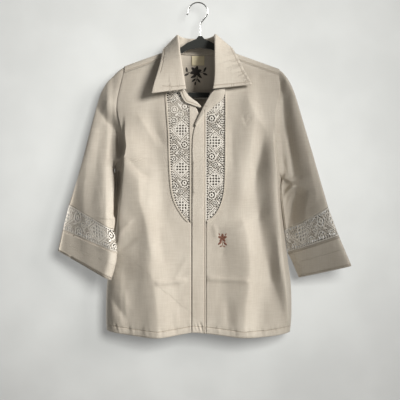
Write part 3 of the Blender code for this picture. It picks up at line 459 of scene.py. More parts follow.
# %% Paint
# Painted light: the wall glows with the near colour beside the shirt and the far colour towards the
# corners.
GLOW = {"heart": (-0.08, WALL_Y, -0.40), "strength": 0.34, "from": 0.20, "to": 1.00,
        "near": (0.975, 0.985, 0.965), "far": (0.38, 0.37, 0.365)}
NET_FINISH = {"base_color": (0.02, 0.02, 0.02, 1), "alpha": 0.54}


def one_sided(finish):
    """Make a finish clear where its surface is seen from the rear."""
    start = Signal(finish.node_tree)
    rear = start.node("ShaderNodeNewGeometry", output="Backfacing")
    front = Signal(finish.node_tree, finish.node_tree.nodes["Principled BSDF"].outputs[0])
    clear = start.node("ShaderNodeBsdfTransparent")
    sides = start.node("ShaderNodeMixShader", None, {0: rear, 1: front, 2: clear})
    feed(finish.node_tree.nodes["Material Output"], sides, "Surface")


def glowing(finish):
    """Make a finish glow, less and less away from the heart of the glow."""
    place = object_place(Signal(finish.node_tree))
    ends = {0: place, 1: GLOW["heart"]}
    far = place.node("ShaderNodeVectorMath", {"operation": "DISTANCE"}, ends, "Value")
    tone = far.band(GLOW["from"], GLOW["to"]).between(GLOW["near"], GLOW["far"])
    feed(finish.node_tree.nodes["Principled BSDF"], tone, "Emission Color")


# The wall's own paint is dark: most of its brightness is painted light, its glow.
WALL_PAINT_AND_GLOW = plain("wall_paint_and_glow", (0.10, 0.10, 0.098), (0.09, 0.09, 0.088), 6, 0.85, 0.0003,
              emission_strength=GLOW["strength"])
glowing(WALL_PAINT_AND_GLOW)
one_sided(WALL_PAINT_AND_GLOW)
coat(wall, WALL_PAINT_AND_GLOW)
coat(net, principled("black_net", **NET_FINISH)[0])
coat(floor, plain("floor_paint", (0.52, 0.52, 0.51), (0.50, 0.50, 0.49), 6, 0.85, 0.0003))
print("the wall glows with", GLOW["strength"])

# %% [markdown]
# ## Creases
# Cloth on a hanger falls in soft tubes and keeps sharp lines where it was folded. A crease is
# not a round bump: its crest is crisp and its two flanks run out flat, each to its own width.
# Each row of the tables below is a path in the front view, the widths of the flanks on its two
# sides, how far the crest lifts, below zero for a valley, and how soon it fades at its ends.
# One function adds them all up for any list of points, so that pieces which lie on each other
# move together and stay clear.

# %% Creases of the front
COLUMNS = ("x", "z", "before", "after", "lift", "fade")
FRONT_CREASES = (
    ((-0.157, -0.151, -0.133, -0.123, -0.119), (-0.416, -0.523, -0.583, -0.651, -0.731), 0.038,
     0.060, 0.0062, 0.08),
    ((-0.121, -0.111, -0.104, -0.104), (-0.713, -0.762, -0.822, -0.885), 0.070, 0.060, 0.0075, 0.0),
    ((-0.114, -0.069, -0.026), (-0.738, -0.735, -0.731), 0.009, 0.012, 0.0036, 0.012),
    ((0.021, 0.072, 0.134), (-0.726, -0.729, -0.731), 0.009, 0.012, 0.0032, 0.008),
    ((-0.022, -0.058, -0.040), (-0.662, -0.725, -0.753), 0.012, 0.012, 0.0014, 0.02),
    ((-0.189, -0.189), (-0.745, -0.845), 0.009, 0.012, 0.0011, 0.03),
    ((-0.223, -0.162), (-0.628, -0.564), 0.016, 0.020, 0.0030, 0.03),
    ((-0.217, -0.154), (-0.660, -0.617), 0.014, 0.022, -0.0026, 0.03),
    ((-0.244, -0.175), (-0.758, -0.845), 0.024, 0.026, -0.0040, 0.04),
    ((0.151, 0.147, 0.139, 0.130), (-0.262, -0.310, -0.395, -0.535), 0.040, 0.028, 0.0016, 0.04),
    ((0.111, 0.127, 0.134, 0.134, 0.123, 0.117), (-0.562, -0.608, -0.676, -0.731, -0.800, -0.885),
     0.075, 0.036, 0.0070, 0.03),
    ((0.175, 0.162, 0.148, 0.156, 0.170, 0.179, 0.191, 0.206, 0.220, 0.225),
     (-0.337, -0.416, -0.482, -0.535, -0.636, -0.681, -0.726, -0.763, -0.808, -0.861), 0.030, 0.045,
     -0.0030, 0.06),
    ((0.117, 0.125, 0.140), (-0.299, -0.323, -0.302), 0.007, 0.008, -0.0011, 0.01),
    ((0.040, 0.050), (-0.583, -0.623), 0.009, 0.007, 0.0015, 0.01),
    ((0.052, 0.068, 0.060), (-0.592, -0.640, -0.690), 0.016, 0.014, -0.0014, 0.03),
    ((-0.119, -0.077), (-0.331, -0.395), 0.022, 0.022, -0.0020, 0.03),
    ((-0.167, -0.101), (-0.284, -0.390), 0.030, 0.026, 0.0022, 0.04),
    ((-0.197, -0.150, -0.110), (-0.395, -0.450, -0.470), 0.020, 0.024, -0.0028, 0.04),
    ((0.190, 0.150, 0.118), (-0.360, -0.300, -0.230), 0.026, 0.026, 0.0022, 0.05),
    ((-0.100, -0.096, -0.088), (-0.590, -0.640, -0.700), 0.020, 0.024, -0.0020, 0.04),
    ((0.088, 0.092), (-0.300, -0.470), 0.018, 0.022, -0.0014, 0.06),
    ((0.075, 0.080), (-0.760, -0.870), 0.020, 0.024, -0.0020, 0.04),
    ((-0.060, -0.052), (-0.780, -0.870), 0.022, 0.018, 0.0018, 0.04),
)
print("creases on the front:", len(FRONT_CREASES))

# %% Creases of the back and the sleeves
BACK_CREASES = (
    ((-0.200, -0.150, -0.095), (-0.400, -0.470, -0.505), 0.024, 0.026, 0.0045, 0.05),
    ((-0.204, -0.160, -0.120), (-0.430, -0.520, -0.620), 0.026, 0.022, -0.0040, 0.05),
    ((0.205, 0.160, 0.110), (-0.440, -0.500, -0.530), 0.026, 0.024, 0.0042, 0.05),
    ((0.208, 0.176, 0.150), (-0.470, -0.560, -0.660), 0.022, 0.026, -0.0036, 0.05),
    ((-0.110, -0.020, 0.080), (-0.300, -0.316, -0.298), 0.020, 0.026, -0.0022, 0.05),
    ((-0.150, 0.0, 0.150), (-0.735, -0.730, -0.736), 0.014, 0.020, 0.0014, 0.03),
    ((0.066, 0.082, 0.078), (-0.540, -0.680, -0.870), 0.045, 0.034, 0.0050, 0.06),
    ((-0.020, -0.012, -0.026), (-0.560, -0.700, -0.870), 0.034, 0.042, -0.0040, 0.06),
    ((-0.094, -0.100), (-0.620, -0.880), 0.036, 0.042, 0.0044, 0.05),
)
SLEEVE_CREASES = (
    ((-0.246, -0.262, -0.268, -0.244), (-0.280, -0.360, -0.430, -0.560), 0.030, 0.024,
     -0.0012, 0.06),
    ((-0.262, -0.292, -0.300, -0.296), (-0.300, -0.420, -0.500, -0.590), 0.024, 0.030,
     0.0014, 0.05),
    ((-0.228, -0.232, -0.236), (-0.420, -0.500, -0.590), 0.010, 0.022, 0.0016, 0.05),
    ((-0.226, -0.262), (-0.230, -0.330), 0.024, 0.020, 0.0018, 0.04),
    ((0.262, 0.290, 0.312), (-0.280, -0.420, -0.560), 0.040, 0.026, 0.0018, 0.05),
    ((0.330, 0.300, 0.272), (-0.505, -0.533, -0.566), 0.018, 0.020, -0.0014, 0.03),
)


def smooth(t):
    """A soft step from 0 to 1."""
    t = np.clip(t, 0, 1)
    return t * t * (3 - 2 * t)


def follow(path_x, path_z, x, z):
    """Distance from a path, above zero on its left as it runs, and the length run along it."""
    px, pz = np.array(path_x), np.array(path_z)
    steps = np.hypot(np.diff(px), np.diff(pz))
    starts = np.concatenate(([0], np.cumsum(steps)))
    gap, run = np.full(len(x), FAR), np.zeros(len(x))
    for i, step in enumerate(steps):
        dx, dz = (px[i + 1] - px[i]) / step, (pz[i + 1] - pz[i]) / step
        across = dx * (z - pz[i]) - dz * (x - px[i])
        t = np.clip((x - px[i]) * dx + (z - pz[i]) * dz, 0, step)
        away = np.hypot(x - px[i] - t * dx, z - pz[i] - t * dz)
        closer = away < np.abs(gap)
        gap[closer] = np.copysign(away, across)[closer]
        run[closer] = starts[i] + t[closer]
    return gap, run, starts[-1]


SOFT_CREST = 0.0018
FLANK = 1.6
FAR = 9.0


def crease_lift(table, x, z):
    """How far all the creases of a table lift the points at these places."""
    total = np.zeros(len(x))
    for row in table:
        crease = dict(zip(COLUMNS, row))
        gap, run, length = follow(crease["x"], crease["z"], x, z)
        width = np.where(gap < 0, crease["before"], crease["after"])
        away = np.sqrt(gap**2 + SOFT_CREST**2) - SOFT_CREST
        shape = np.clip(1 - away / width, 0, 1) ** FLANK
        if crease["fade"]:
            shape *= smooth(np.minimum(run, length - run) / crease["fade"])
        total += crease["lift"] * shape
    return total


print("creases behind and on the sleeves:", len(BACK_CREASES) + len(SLEEVE_CREASES))

# %% Tucks beside the armholes
# Under each arm the slack cloth folds away behind a sharp edge and leaves a dark hollow.
BODY_TUCKS = (
    ((-0.189, -0.191, -0.193, -0.196, -0.201, -0.208, -0.216, -0.222),
     (-0.290, -0.370, -0.430, -0.469, -0.522, -0.575, -0.628, -0.710), 0.0065, 0.064, 0.0215, 0.12),
    ((-0.200, -0.202), (-0.690, -0.880), 0.050, 0.066, 0.0070, 0.06),
    ((-0.2125, -0.2135, -0.2155, -0.2180), (-0.432, -0.496, -0.588, -0.640), 0.010, 0.009,
     -0.0120, 0.02),
    ((0.1930, 0.1980, 0.2015, 0.2050, 0.2075, 0.2130, 0.2230, 0.2310, 0.2360),
     (-0.330, -0.360, -0.420, -0.480, -0.520, -0.600, -0.700, -0.790, -0.870), 0.085, 0.012,
     0.0260, 0.10),
)
SLEEVE_TUCKS = (
    ((-0.2170, -0.2150, -0.2135, -0.2150), (-0.320, -0.360, -0.400, -0.450), 0.0065, 0.020,
     -0.0070, 0.05),
    ((-0.2090, -0.2050, -0.2030, -0.2070), (-0.320, -0.360, -0.400, -0.440), 0.020, 0.0065,
     -0.0060, 0.05),
    ((0.203, 0.217), (-0.3604, -0.3684), 0.008, 0.012, 0.0026, 0.008),
    ((0.2150, 0.2260, 0.2370, 0.2580), (-0.203, -0.239, -0.347, -0.477), 0.034, 0.040,
     -0.0100, 0.02),
    ((0.206, 0.2332, 0.2597), (-0.4545, -0.4624, -0.477), 0.0028, 0.030, 0.0080, 0.012),
    ((0.2190, 0.2220, 0.2260, 0.2300), (-0.474, -0.522, -0.580, -0.628), 0.012, 0.034,
     -0.0340, 0.025),
    ((0.2597, 0.2438, 0.2290), (-0.4797, -0.522, -0.5618), 0.0040, 0.0050, 0.0090, 0.008),
    ((0.2670, 0.2597, 0.2518), (-0.486, -0.535, -0.590), 0.0060, 0.024, -0.0110, 0.02),
)
print("tucks:", len(BODY_TUCKS) + len(SLEEVE_TUCKS))

# %% [markdown]
# ## Refining a wall
# A CAD wall is a coarse mesh of loose triangles. A copy is merged into one closed skin, its
# triangles are joined into four-sided faces, and the rim's edges are creased so that
# subdivision rounds the cloth but keeps its outline.

# %% Shells
MERGE = 0.000002
RIM_ANGLE = math.radians(58)
JOIN_ANGLE = math.radians(50)
SHAPE_ANGLE = math.radians(120)
LEVEL, FINEST = 2, 3
FINEST_PIECES = ("front_right", "front_left", "back_panel", "neck_label", "collar", "fly_placket",
                 "facing_right", "facing_left", "sleeve_right", "sleeve_left")


def wall_copy(name, longest=None):
    """A CAD wall merged and squared up; edges above a longest length are cut in half first."""
    bm = bmesh.new()
    bm.from_mesh(nodes[name].data)
    bmesh.ops.remove_doubles(bm, verts=bm.verts, dist=MERGE)
    bmesh.ops.join_triangles(bm, faces=bm.faces, angle_face_threshold=JOIN_ANGLE,
                             angle_shape_threshold=SHAPE_ANGLE)
    rim = bm.edges.layers.float.new("crease_edge")
    for edge in bm.edges:
        if edge.calc_face_angle(0) > RIM_ANGLE:
            edge[rim] = 1.0
    if longest:
        bmesh.ops.subdivide_edges(bm, edges=[e for e in bm.edges if e.calc_length() > longest],
                                  cuts=1, use_grid_fill=True)
    return bm


def applied(piece):
    """The piece with its modifiers worked into its mesh."""
    ready = piece.evaluated_get(bpy.context.evaluated_depsgraph_get())
    mesh = bpy.data.meshes.new_from_object(ready)
    piece.modifiers.clear()
    old, piece.data = piece.data, mesh
    bpy.data.meshes.remove(old)
    mesh.shade_smooth()
    return piece


def shell(name, longest=None):
    """The refined skin of a CAD wall, with its subdivision applied."""
    piece = add_piece(f"{name}_cloth", wall_copy(name, longest))
    fine = piece.modifiers.new("fine", "SUBSURF")
    fine.levels = fine.render_levels = FINEST if name in FINEST_PIECES else LEVEL
    fine.boundary_smooth = "PRESERVE_CORNERS"
    return applied(piece)


def points_of(piece):
    """The places of a piece's points, one row for each."""
    flat = np.empty(len(piece.data.vertices) * 3)
    piece.data.vertices.foreach_get("co", flat)
    return flat.reshape(-1, 3)


def set_points(piece, points):
    """Move a piece's points to these places."""
    piece.data.vertices.foreach_set("co", points.ravel())
    piece.data.update()


def set_attribute(piece, name, values):
    """Write a number for each point, which a finish can read by its name."""
    made = piece.data.attributes.get(name) or piece.data.attributes.new(name, "FLOAT", "POINT")
    made.data.foreach_set("value", np.asarray(values, dtype=np.float32))


print("panels that get the finest mesh:", ", ".join(FINEST_PIECES))

# %% [markdown]
# ## Pressing the creases in
# The cloth may not move where it is sewn to a piece that doesn't share its creases: at the
# armholes, the side seams and the yoke. So the creases fade out towards those lines. A sleeve
# is a flat tube: a crease acts fully in the middle of the half that faces the camera, the
# other way on the half behind, and not at all on the folds between them. A table for both
# hands has the wearer's right under -1 and the left under 1, as the sign of x is there.

# %% The sewn outline of the body
SIDE_SEAM = {
    -1: ((-0.1945, -0.1952, -0.1990, -0.2075, -0.2135, -0.2070, -0.1970, -0.1930, -0.1965, -0.2045,
          -0.2186, -0.2265, -0.2300, -0.2360, -0.2405, -0.2430, -0.2420, -0.2395),
         (-0.165, -0.182, -0.206, -0.235, -0.272, -0.310, -0.349, -0.382, -0.403, -0.415, -0.426,
          -0.500, -0.618, -0.694, -0.747, -0.800, -0.853, -0.900)),
    1: ((0.2150, 0.2165, 0.2140, 0.2055, 0.2020, 0.2025, 0.2060, 0.2085, 0.2110, 0.2140, 0.2190,
         0.2180, 0.2300, 0.2390, 0.2455, 0.2470, 0.2460, 0.2400),
        (-0.170, -0.200, -0.240, -0.273, -0.310, -0.361, -0.400, -0.430, -0.448, -0.457, -0.464,
         -0.500, -0.618, -0.694, -0.747, -0.800, -0.853, -0.900)),
}
FADE_IN = 0.034
TUCK_FADE = 0.007
BACK_SEAM_Z = -0.250
YOKE = {"x": 0.096, "z": -0.1505, "slope": 0.36, "level_to": 0.055}


def yoke_seam(x):
    """Height of the forward yoke seam at a place across."""
    return YOKE["z"] - YOKE["slope"] * (np.maximum(np.abs(x), YOKE["level_to"]) - YOKE["x"])


def body_share(x, z, top, fade):
    """1 out on the cloth, and 0 at the armholes, the side seams and the seam above."""
    away = np.full(len(x), FAR)
    for hand, path in SIDE_SEAM.items():
        mine = x * hand > 0
        away[mine] = np.abs(follow(*path, x[mine], z[mine])[0])
    return smooth(away / fade) * smooth((top - z) / fade)


print("knots of the side seams:", [len(path[0]) for path in SIDE_SEAM.values()])

# %% [markdown]
# ### Easing a front
# The fronts come as a mesh of long faces whose rows are dense in some places and wide apart in
# others. Smoothing its points would pull most where the rows are dense. So the depth of the
# panel is read on an even grid, averaged there, much more up and down than across, and each
# point moves by the difference. The strips beside the lace and the seams stay where they are.

# %% Even depth
EASE_CELL = 0.0025
EASE_UP, EASE_ACROSS = 0.013, 0.0042
EASE_FROM, EASE_FADE = 0.078, 0.014
NEAR_ZERO = 0.001
REACH = 0.25
TOWARDS_BACK, TOWARDS_FRONT = Vector((0, 1, 0)), Vector((0, -1, 0))


def blurred(values, rows, columns):
    """A grid of values averaged over about so many rows and columns."""
    for axis, spread in ((0, rows), (1, columns)):
        reach = np.arange(-int(3 * spread), int(3 * spread) + 1)
        share = np.exp(-0.5 * (reach / spread) ** 2)
        share /= share.sum()
        values = np.apply_along_axis(lambda line: np.convolve(line, share, "same"), axis, values)
    return values


def eased(piece):
    """Average the depth of a panel, so that the rows of its coarse mesh don't show."""
    bm = bmesh.new()
    bm.from_mesh(piece.data)
    tree = BVHTree.FromBMesh(bm)
    bm.free()
    points = points_of(piece)
    start = points.min(axis=0)
    columns, _, rows = ((points.max(axis=0) - start) / EASE_CELL).astype(int) + 2
    depth = np.zeros((rows, columns))
    known = np.zeros((rows, columns))
    for i in range(rows):
        for j in range(columns):
            spot = Vector((start[0] + j * EASE_CELL, -REACH, start[2] + i * EASE_CELL))
            hit = tree.ray_cast(spot, TOWARDS_BACK)[0]
            if hit:
                depth[i, j], known[i, j] = hit.y, 1
    spread = EASE_UP / EASE_CELL, EASE_ACROSS / EASE_CELL
    level = blurred(depth, *spread) / np.maximum(blurred(known, *spread), NEAR_ZERO)
    change = (level - depth) * known
    x, z = points[:, 0], points[:, 2]
    u, v = (x - start[0]) / EASE_CELL, (z - start[2]) / EASE_CELL
    i, j = v.astype(int), u.astype(int)
    v, u = v - i, u - j
    here = (change[i, j] * (1 - u) + change[i, j + 1] * u) * (1 - v)
    here += (change[i + 1, j] * (1 - u) + change[i + 1, j + 1] * u) * v
    free = smooth((np.abs(x) - EASE_FROM) / EASE_FADE) * body_share(x, z, yoke_seam(x), EASE_FADE)
    points[:, 1] += here * free
    set_points(piece, points)


print("depth is averaged over", EASE_UP * 1000, "mm up and down")

# %% The hem, and slow unevenness
HEM_X = (-0.262, -0.233, -0.165, -0.106, -0.060, -0.014, 0.026, 0.070, 0.119, 0.180, 0.237, 0.262)
HEM_Z = (-0.862, -0.866, -0.875, -0.8795, -0.874, -0.866, -0.869, -0.874, -0.880, -0.877, -0.870,
         -0.864)
HEM_DEEP = 0.0165
HEM_PROUD, HEM_STEP = 0.0008, 0.003
STITCH_SUNK, STITCH_HALF = 0.0009, 0.0022
PUCKER, PUCKER_BELOW, PUCKER_ABOVE = 0.0011, 0.013, 0.008
PUCKER_PITCHES, PUCKER_LEAN = (0.0085, 0.0118, 0.0173, 0.031), 0.6
RIPPLES, RIPPLE_LIFT = 9, 0.00022
RIPPLE_PITCH, RIPPLE_LEAN, RIPPLE_RUN = (0.035, 0.11), (-0.3, 0.3), (0.05, 0.14)


def hem_line(x):
    """Height of the hem's stitch line at a place across."""
    return np.interp(x, HEM_X, HEM_Z) + HEM_DEEP


def hem_lift(x, z, seed):
    """The turned hem stands proud of the cloth, and its stitches pull it into small puckers."""
    below = hem_line(x) - z
    rng = np.random.default_rng(seed)
    pleats = np.zeros(len(x))
    for pitch in PUCKER_PITCHES:
        lean, phase = rng.uniform(-PUCKER_LEAN, PUCKER_LEAN), rng.uniform(0, FULL_TURN)
        pleats += np.sin((x + lean * z) * FULL_TURN / pitch + phase) / 2
    pleats *= np.exp(-((below / np.where(below > 0, PUCKER_BELOW, PUCKER_ABOVE)) ** 2))
    groove = np.exp(-((below / STITCH_HALF) ** 2))
    return HEM_PROUD * smooth(below / HEM_STEP) - STITCH_SUNK * groove + PUCKER * pleats


def ripple(x, z, seed):
    """Slow unevenness of hanging cloth, long from top to bottom."""
    rng = np.random.default_rng(seed)
    total = np.zeros(len(x))
    for _ in range(RIPPLES):
        pitch = rng.uniform(*RIPPLE_PITCH)
        lean = rng.uniform(*RIPPLE_LEAN)
        phase = rng.uniform(0, FULL_TURN, 2)
        slow = 0.5 + 0.5 * np.sin(z / rng.uniform(*RIPPLE_RUN) + phase[0])
        total += slow * np.sin((x + lean * z) * FULL_TURN / pitch + phase[1])
    return total * RIPPLE_LIFT


print("the hem is turned up by", HEM_DEEP * 1000, "mm")

# %% Pressing the body
PRESS = 1.15
FRONT_SEED, BACK_SEED, SLEEVE_SEED = 11, 12, 13
FRONT_HEM_SEED, BACK_HEM_SEED = 21, 22


def press_front(points):
    """Creases, hem and tucks of everything that lies on the front."""
    x, z = points[:, 0], points[:, 2]
    lift = crease_lift(FRONT_CREASES, x, z) * PRESS + ripple(x, z, FRONT_SEED)
    lift += hem_lift(x, z, FRONT_HEM_SEED)
    tuck = crease_lift(BODY_TUCKS, x, z)
    top = yoke_seam(x)
    points[:, 1] -= lift * body_share(x, z, top, FADE_IN) + tuck * body_share(x, z, top, TUCK_FADE)


def press_back(points):
    """Creases and hem of the back, which lift away from the front."""
    x, z = points[:, 0], points[:, 2]
    lift = crease_lift(BACK_CREASES, x, z) * PRESS + ripple(x, z, BACK_SEED)
    lift += hem_lift(x, z, BACK_HEM_SEED)
    points[:, 1] += lift * body_share(x, z, BACK_SEAM_Z, FADE_IN)


print("creases are pressed", PRESS, "times as deep as their tables say")

# %% [markdown]
# ### Pressing a sleeve
# A ring of a sleeve is given by its two folds, outer and inner, each with its place in the
# front view and its depth, and by half its thickness. Between two rings everything runs
# straight. The tables below the rings say how much flatter the hung sleeve lies than a round
# tube, how far it turns its face to one side, and how far its cloth draws in under the arm.

# %% Sleeve tubes
RING = ("outer_x", "outer_z", "inner_x", "inner_z", "outer_y", "inner_y", "half")
SLEEVE_RINGS = {
    -1: ((-0.2400, -0.2105, -0.2262, -0.4440, -0.005, -0.003, 0.031),
         (-0.2560, -0.2370, -0.2264, -0.4590, -0.008, -0.006, 0.031),
         (-0.2680, -0.2750, -0.2265, -0.4790, -0.012, -0.010, 0.031),
         (-0.2840, -0.3360, -0.2268, -0.5040, -0.018, -0.018, 0.031),
         (-0.3020, -0.4130, -0.2268, -0.5330, -0.024, -0.027, 0.030),
         (-0.3200, -0.4770, -0.2250, -0.5660, -0.030, -0.036, 0.028),
         (-0.3390, -0.5350, -0.2230, -0.5980, -0.036, -0.044, 0.026),
         (-0.3470, -0.5680, -0.2160, -0.6280, -0.038, -0.048, 0.024),
         (-0.3545, -0.5995, -0.2095, -0.6560, -0.040, -0.052, 0.022),
         (-0.3610, -0.6280, -0.2100, -0.6830, -0.041, -0.053, 0.021),
         (-0.3665, -0.6560, -0.2250, -0.7290, -0.042, -0.052, 0.020)),
    1: ((0.2440, -0.2100, 0.2290, -0.4700, -0.009, 0.000, 0.032),
        (0.2530, -0.2360, 0.2325, -0.4760, -0.014, 0.000, 0.034),
        (0.2655, -0.2800, 0.2360, -0.4860, -0.020, 0.000, 0.034),
        (0.2830, -0.3400, 0.2385, -0.5000, -0.026, -0.001, 0.033),
        (0.3020, -0.4080, 0.2400, -0.5200, -0.033, -0.002, 0.031),
        (0.3200, -0.4760, 0.2405, -0.5480, -0.040, -0.004, 0.029),
        (0.3375, -0.5400, 0.2420, -0.6010, -0.046, -0.008, 0.026),
        (0.3510, -0.5770, 0.2410, -0.6310, -0.048, -0.011, 0.024),
        (0.3645, -0.6135, 0.2405, -0.6595, -0.050, -0.014, 0.022),
        (0.3800, -0.6520, 0.2530, -0.6930, -0.052, -0.018, 0.021),
        (0.3955, -0.6910, 0.2675, -0.7260, -0.054, -0.022, 0.020)),
}
UNDERARM = {
    -1: ((-0.660, -0.628, -0.598, -0.566, -0.533, -0.504, -0.479, -0.459, -0.444),
         (0.0, 0.004, 0.008, 0.010, 0.011, 0.011, 0.010, 0.008, 0.004)),
    1: ((-0.680, -0.650, -0.601, -0.548, -0.520, -0.500, -0.486, -0.470, -0.455),
        (0.0, 0.005, 0.013, 0.021, 0.024, 0.024, 0.021, 0.012, 0.004)),
}
UNDERARM_REACH = {-1: 0.014, 1: 0.034}
UNDERARM_DEEP = 0.9
CLOSE_UP = 0.0014
CLOSE_REACH = 0.014
ARMHOLE_KNOTS = 11
FLAT = {-1: (-0.35, 1.12), 1: (0.25, 0.92)}
FLAT_FADE = {-1: ((-0.34, -0.24), (0.022, 0.080)), 1: ((-0.34, -0.24), (0.022, 0.022))}
SHEAR = {-1: (0.014, -0.22), 1: (0.014, -0.58)}
SHEAR_FADE = 0.16
SLEEVE_RIPPLE = 1.3
FULL_AT = 0.7


def press_sleeve(points):
    """The face of a hung sleeve is flat and turned to one side; its own creases lie on that."""
    hand = 1 if points[:, 0].mean() > 0 else -1
    rings = {name: np.array(column) for name, column in zip(RING, zip(*SLEEVE_RINGS[hand]))}
    axis_x = (rings["outer_x"] + rings["inner_x"]) / 2
    axis_z = (rings["outer_z"] + rings["inner_z"]) / 2
    x, y, z = points.T
    _, run, _ = follow(axis_x, axis_z, x, z)
    knots = follow(axis_x, axis_z, axis_x, axis_z)[1]
    here = {name: np.interp(run, knots, column) for name, column in rings.items()}
    arm_x = (here["outer_x"] - here["inner_x"]) / 2
    arm_z = (here["outer_z"] - here["inner_z"]) / 2
    off_x, off_z = x - here["outer_x"] + arm_x, z - here["outer_z"] + arm_z
    out = np.clip((off_x * arm_x + off_z * arm_z) / (arm_x**2 + arm_z**2), -1, 1)
    level = here["outer_y"] + (here["inner_y"] - here["outer_y"]) * (1 - out) / 2
    share = np.clip((level - y) / (here["half"] * FULL_AT), -1, 1)
    armhole = np.abs(follow(*(row[:ARMHOLE_KNOTS] for row in SIDE_SEAM[hand]), x, z)[0])
    low, high = FLAT[hand]
    flat = (low + (high - low) * (1 + out * hand) / 2) * np.sqrt(1 + out**2 + out**4 + out**6)
    turn, top = SHEAR[hand]
    flatter = (level - y) * (flat - 1) * (y < level)
    flatter += turn * out * hand * smooth((top - z) / SHEAR_FADE)
    flatter *= smooth(armhole / np.interp(z, *FLAT_FADE[hand]))
    lift = crease_lift(SLEEVE_CREASES, x, z) * PRESS + ripple(x, z, SLEEVE_SEED) * SLEEVE_RIPPLE
    tuck = crease_lift(SLEEVE_TUCKS, x, z) * np.maximum(share, 0)
    closing = CLOSE_UP * smooth(1 - armhole / CLOSE_REACH)
    from_fold = hand * (x - here["inner_x"]) / UNDERARM_REACH[hand]
    under = np.interp(z, *UNDERARM[hand]) * smooth(1 - from_fold)
    points[:, 1] -= flatter + share * lift * smooth(armhole / FADE_IN)
    points[:, 1] -= tuck * smooth(armhole / TUCK_FADE)
    points[:, 1] += UNDERARM_DEEP * under * np.maximum(share, 0)
    points[:, 0] -= hand * (closing + under)


print("rings of each sleeve:", [len(rings) for rings in SLEEVE_RINGS.values()])

# %% The collar's right leaf
ROLL_X, ROLL_Z = (-0.0477, -0.0292), (-0.0874, -0.2306)
LEAF_LIFT, LEAF_OUT, LEAF_TOP, LEAF_FADE = 0.018, 0.085, -0.095, 0.07


def lift_leaf(points):
    """The collar's right leaf stands off the shoulder, more towards its outer edge."""
    x, z = points[:, 0], points[:, 2]
    out = np.interp(-z, -np.array(ROLL_Z), ROLL_X) - x
    points[:, 1] -= LEAF_LIFT * np.clip(out / LEAF_OUT, 0, 1) * smooth((LEAF_TOP - z) / LEAF_FADE)


print("the collar's right leaf is lifted by up to", LEAF_LIFT * 1000, "mm")

# %% [markdown]
# ## The twill panels
# Each panel is refined, given its finish, and pressed. What lies on the front shares the front's
# creases, so the closing, the trims and the facings move with the panels below them. The yoke
# and the neck label keep the form of their walls.

# %% Panels
LONGEST = {"sleeve_right": 0.030, "sleeve_left": 0.030}
PRESSED = {
    press_front: ("front_right", "front_left", "inset_trim_right", "inset_trim_left",
                  "button_band", "fly_placket", "facing_right", "facing_left"),
    press_back: ("back_panel",),
    None: ("back_yoke",),
    lift_leaf: ("collar",),
    press_sleeve: ("sleeve_right", "sleeve_left", "cuff_right", "cuff_left"),
}


def press(piece, how):
    """Move the points of a piece in one of the ways above."""
    points = points_of(piece)
    how(points)
    set_points(piece, points)


def dress(piece, finish, slot, *replaced):
    """Give a piece its finish, tie it to the shirt and let it stand for its CAD walls."""
    coat(piece, finish)
    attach(piece, "root")
    if replaced:
        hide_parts(*replaced)
    return piece


cloth = {}
for how, names in PRESSED.items():
    for name in names:
        cloth[name] = dress(shell(name, LONGEST.get(name)), CREAM, "cream_twill", name)
        if name in ("front_right", "front_left"):
            eased(cloth[name])
        if how:
            press(cloth[name], how)
cloth["neck_label"] = dress(shell("neck_label"), TAPE, "label_tape", "neck_label")
print("faces of twill:", sum(len(p.data.polygons) for p in cloth.values()))

# %% [markdown]
# ## The lace's pattern
# Island dress shirts carry a strip of machine lace on each side of the fly and a band of it
# above each cuff. The pattern here is a plain repeat drawn for this shirt: rosettes of a few
# sizes, a diamond of eyelets inside two bands of thread and leaves between, on a ground of small
# holes, with a row of holes inside each edge. It is worked out on a flat strip, as the lace is
# made, and says for each point how high the thread stands and whether there is thread at all.

# %% Motifs of one repeat
REPEAT = 0.100
STRIP = 0.053
EDGE_HOLE = {"in": 0.0042, "radius": 0.0017, "pitch": 0.0064}
GROUND = {"pitch": 0.0050, "radius": 0.0013}
ROSETTES = ((0.0150, 0.039, 0.0115, 8), (0.0420, 0.047, 0.0095, 6), (0.0110, -0.028, 0.0080, 6),
            (0.0430, -0.024, 0.0090, 6), (0.0440, 0.021, 0.0075, 5), (0.0250, -0.0405, 0.0075, 5))
LEAVES = ((0.0300, 0.0340, 118), (0.0060, 0.0190, 60), (0.0350, -0.0400, 35))
LEAF = {"length": 0.0070, "half": 0.0024}
DIAMOND = {"across": 0.0230, "reach": 0.0205, "pitch": 0.0074, "radius": 0.0021}
CHAINS = (0.0225, 0.0285)
CHAIN_HALF = 0.0013
RIM_WIDE = 0.0066
HEIGHTS = {"ground": 0.45, "chain": 0.95, "diamond": 0.80, "leaf": 0.9, "rim": 0.70,
           "ring": 1.0, "petal": 0.40, "heart": 0.90}
FLOWER = {"eye": 0.17, "heart": 0.50, "gap": 0.54, "ring": 0.76, "spoke": 0.34}


def turned(s, v, angle):
    """A place in axes that are turned by an angle."""
    c, d = math.cos(angle), math.sin(angle)
    return s * c + v * d, v * c - s * d


def dots(s, v, pitch, radius):
    """Round holes in rows along and across the strip."""
    return np.hypot(s % pitch - pitch / 2, v % pitch - pitch / 2) < radius


def rosette(s, v, radius, petals):
    """Inside, thread height and open parts of a round flower: a ring, a gap and a filled heart."""
    r = np.hypot(s, v) / radius
    turn = (np.arctan2(v, s) / FULL_TURN * petals) % 1
    side = np.abs(turn - 0.5) * 2
    height = np.where(r > FLOWER["ring"], HEIGHTS["ring"], HEIGHTS["petal"])
    height = np.where(r < FLOWER["heart"], HEIGHTS["heart"], height)
    gap = (side > FLOWER["spoke"]) & (r > FLOWER["gap"]) & (r < FLOWER["ring"])
    return r < 1.0, height, gap | (r < FLOWER["eye"])


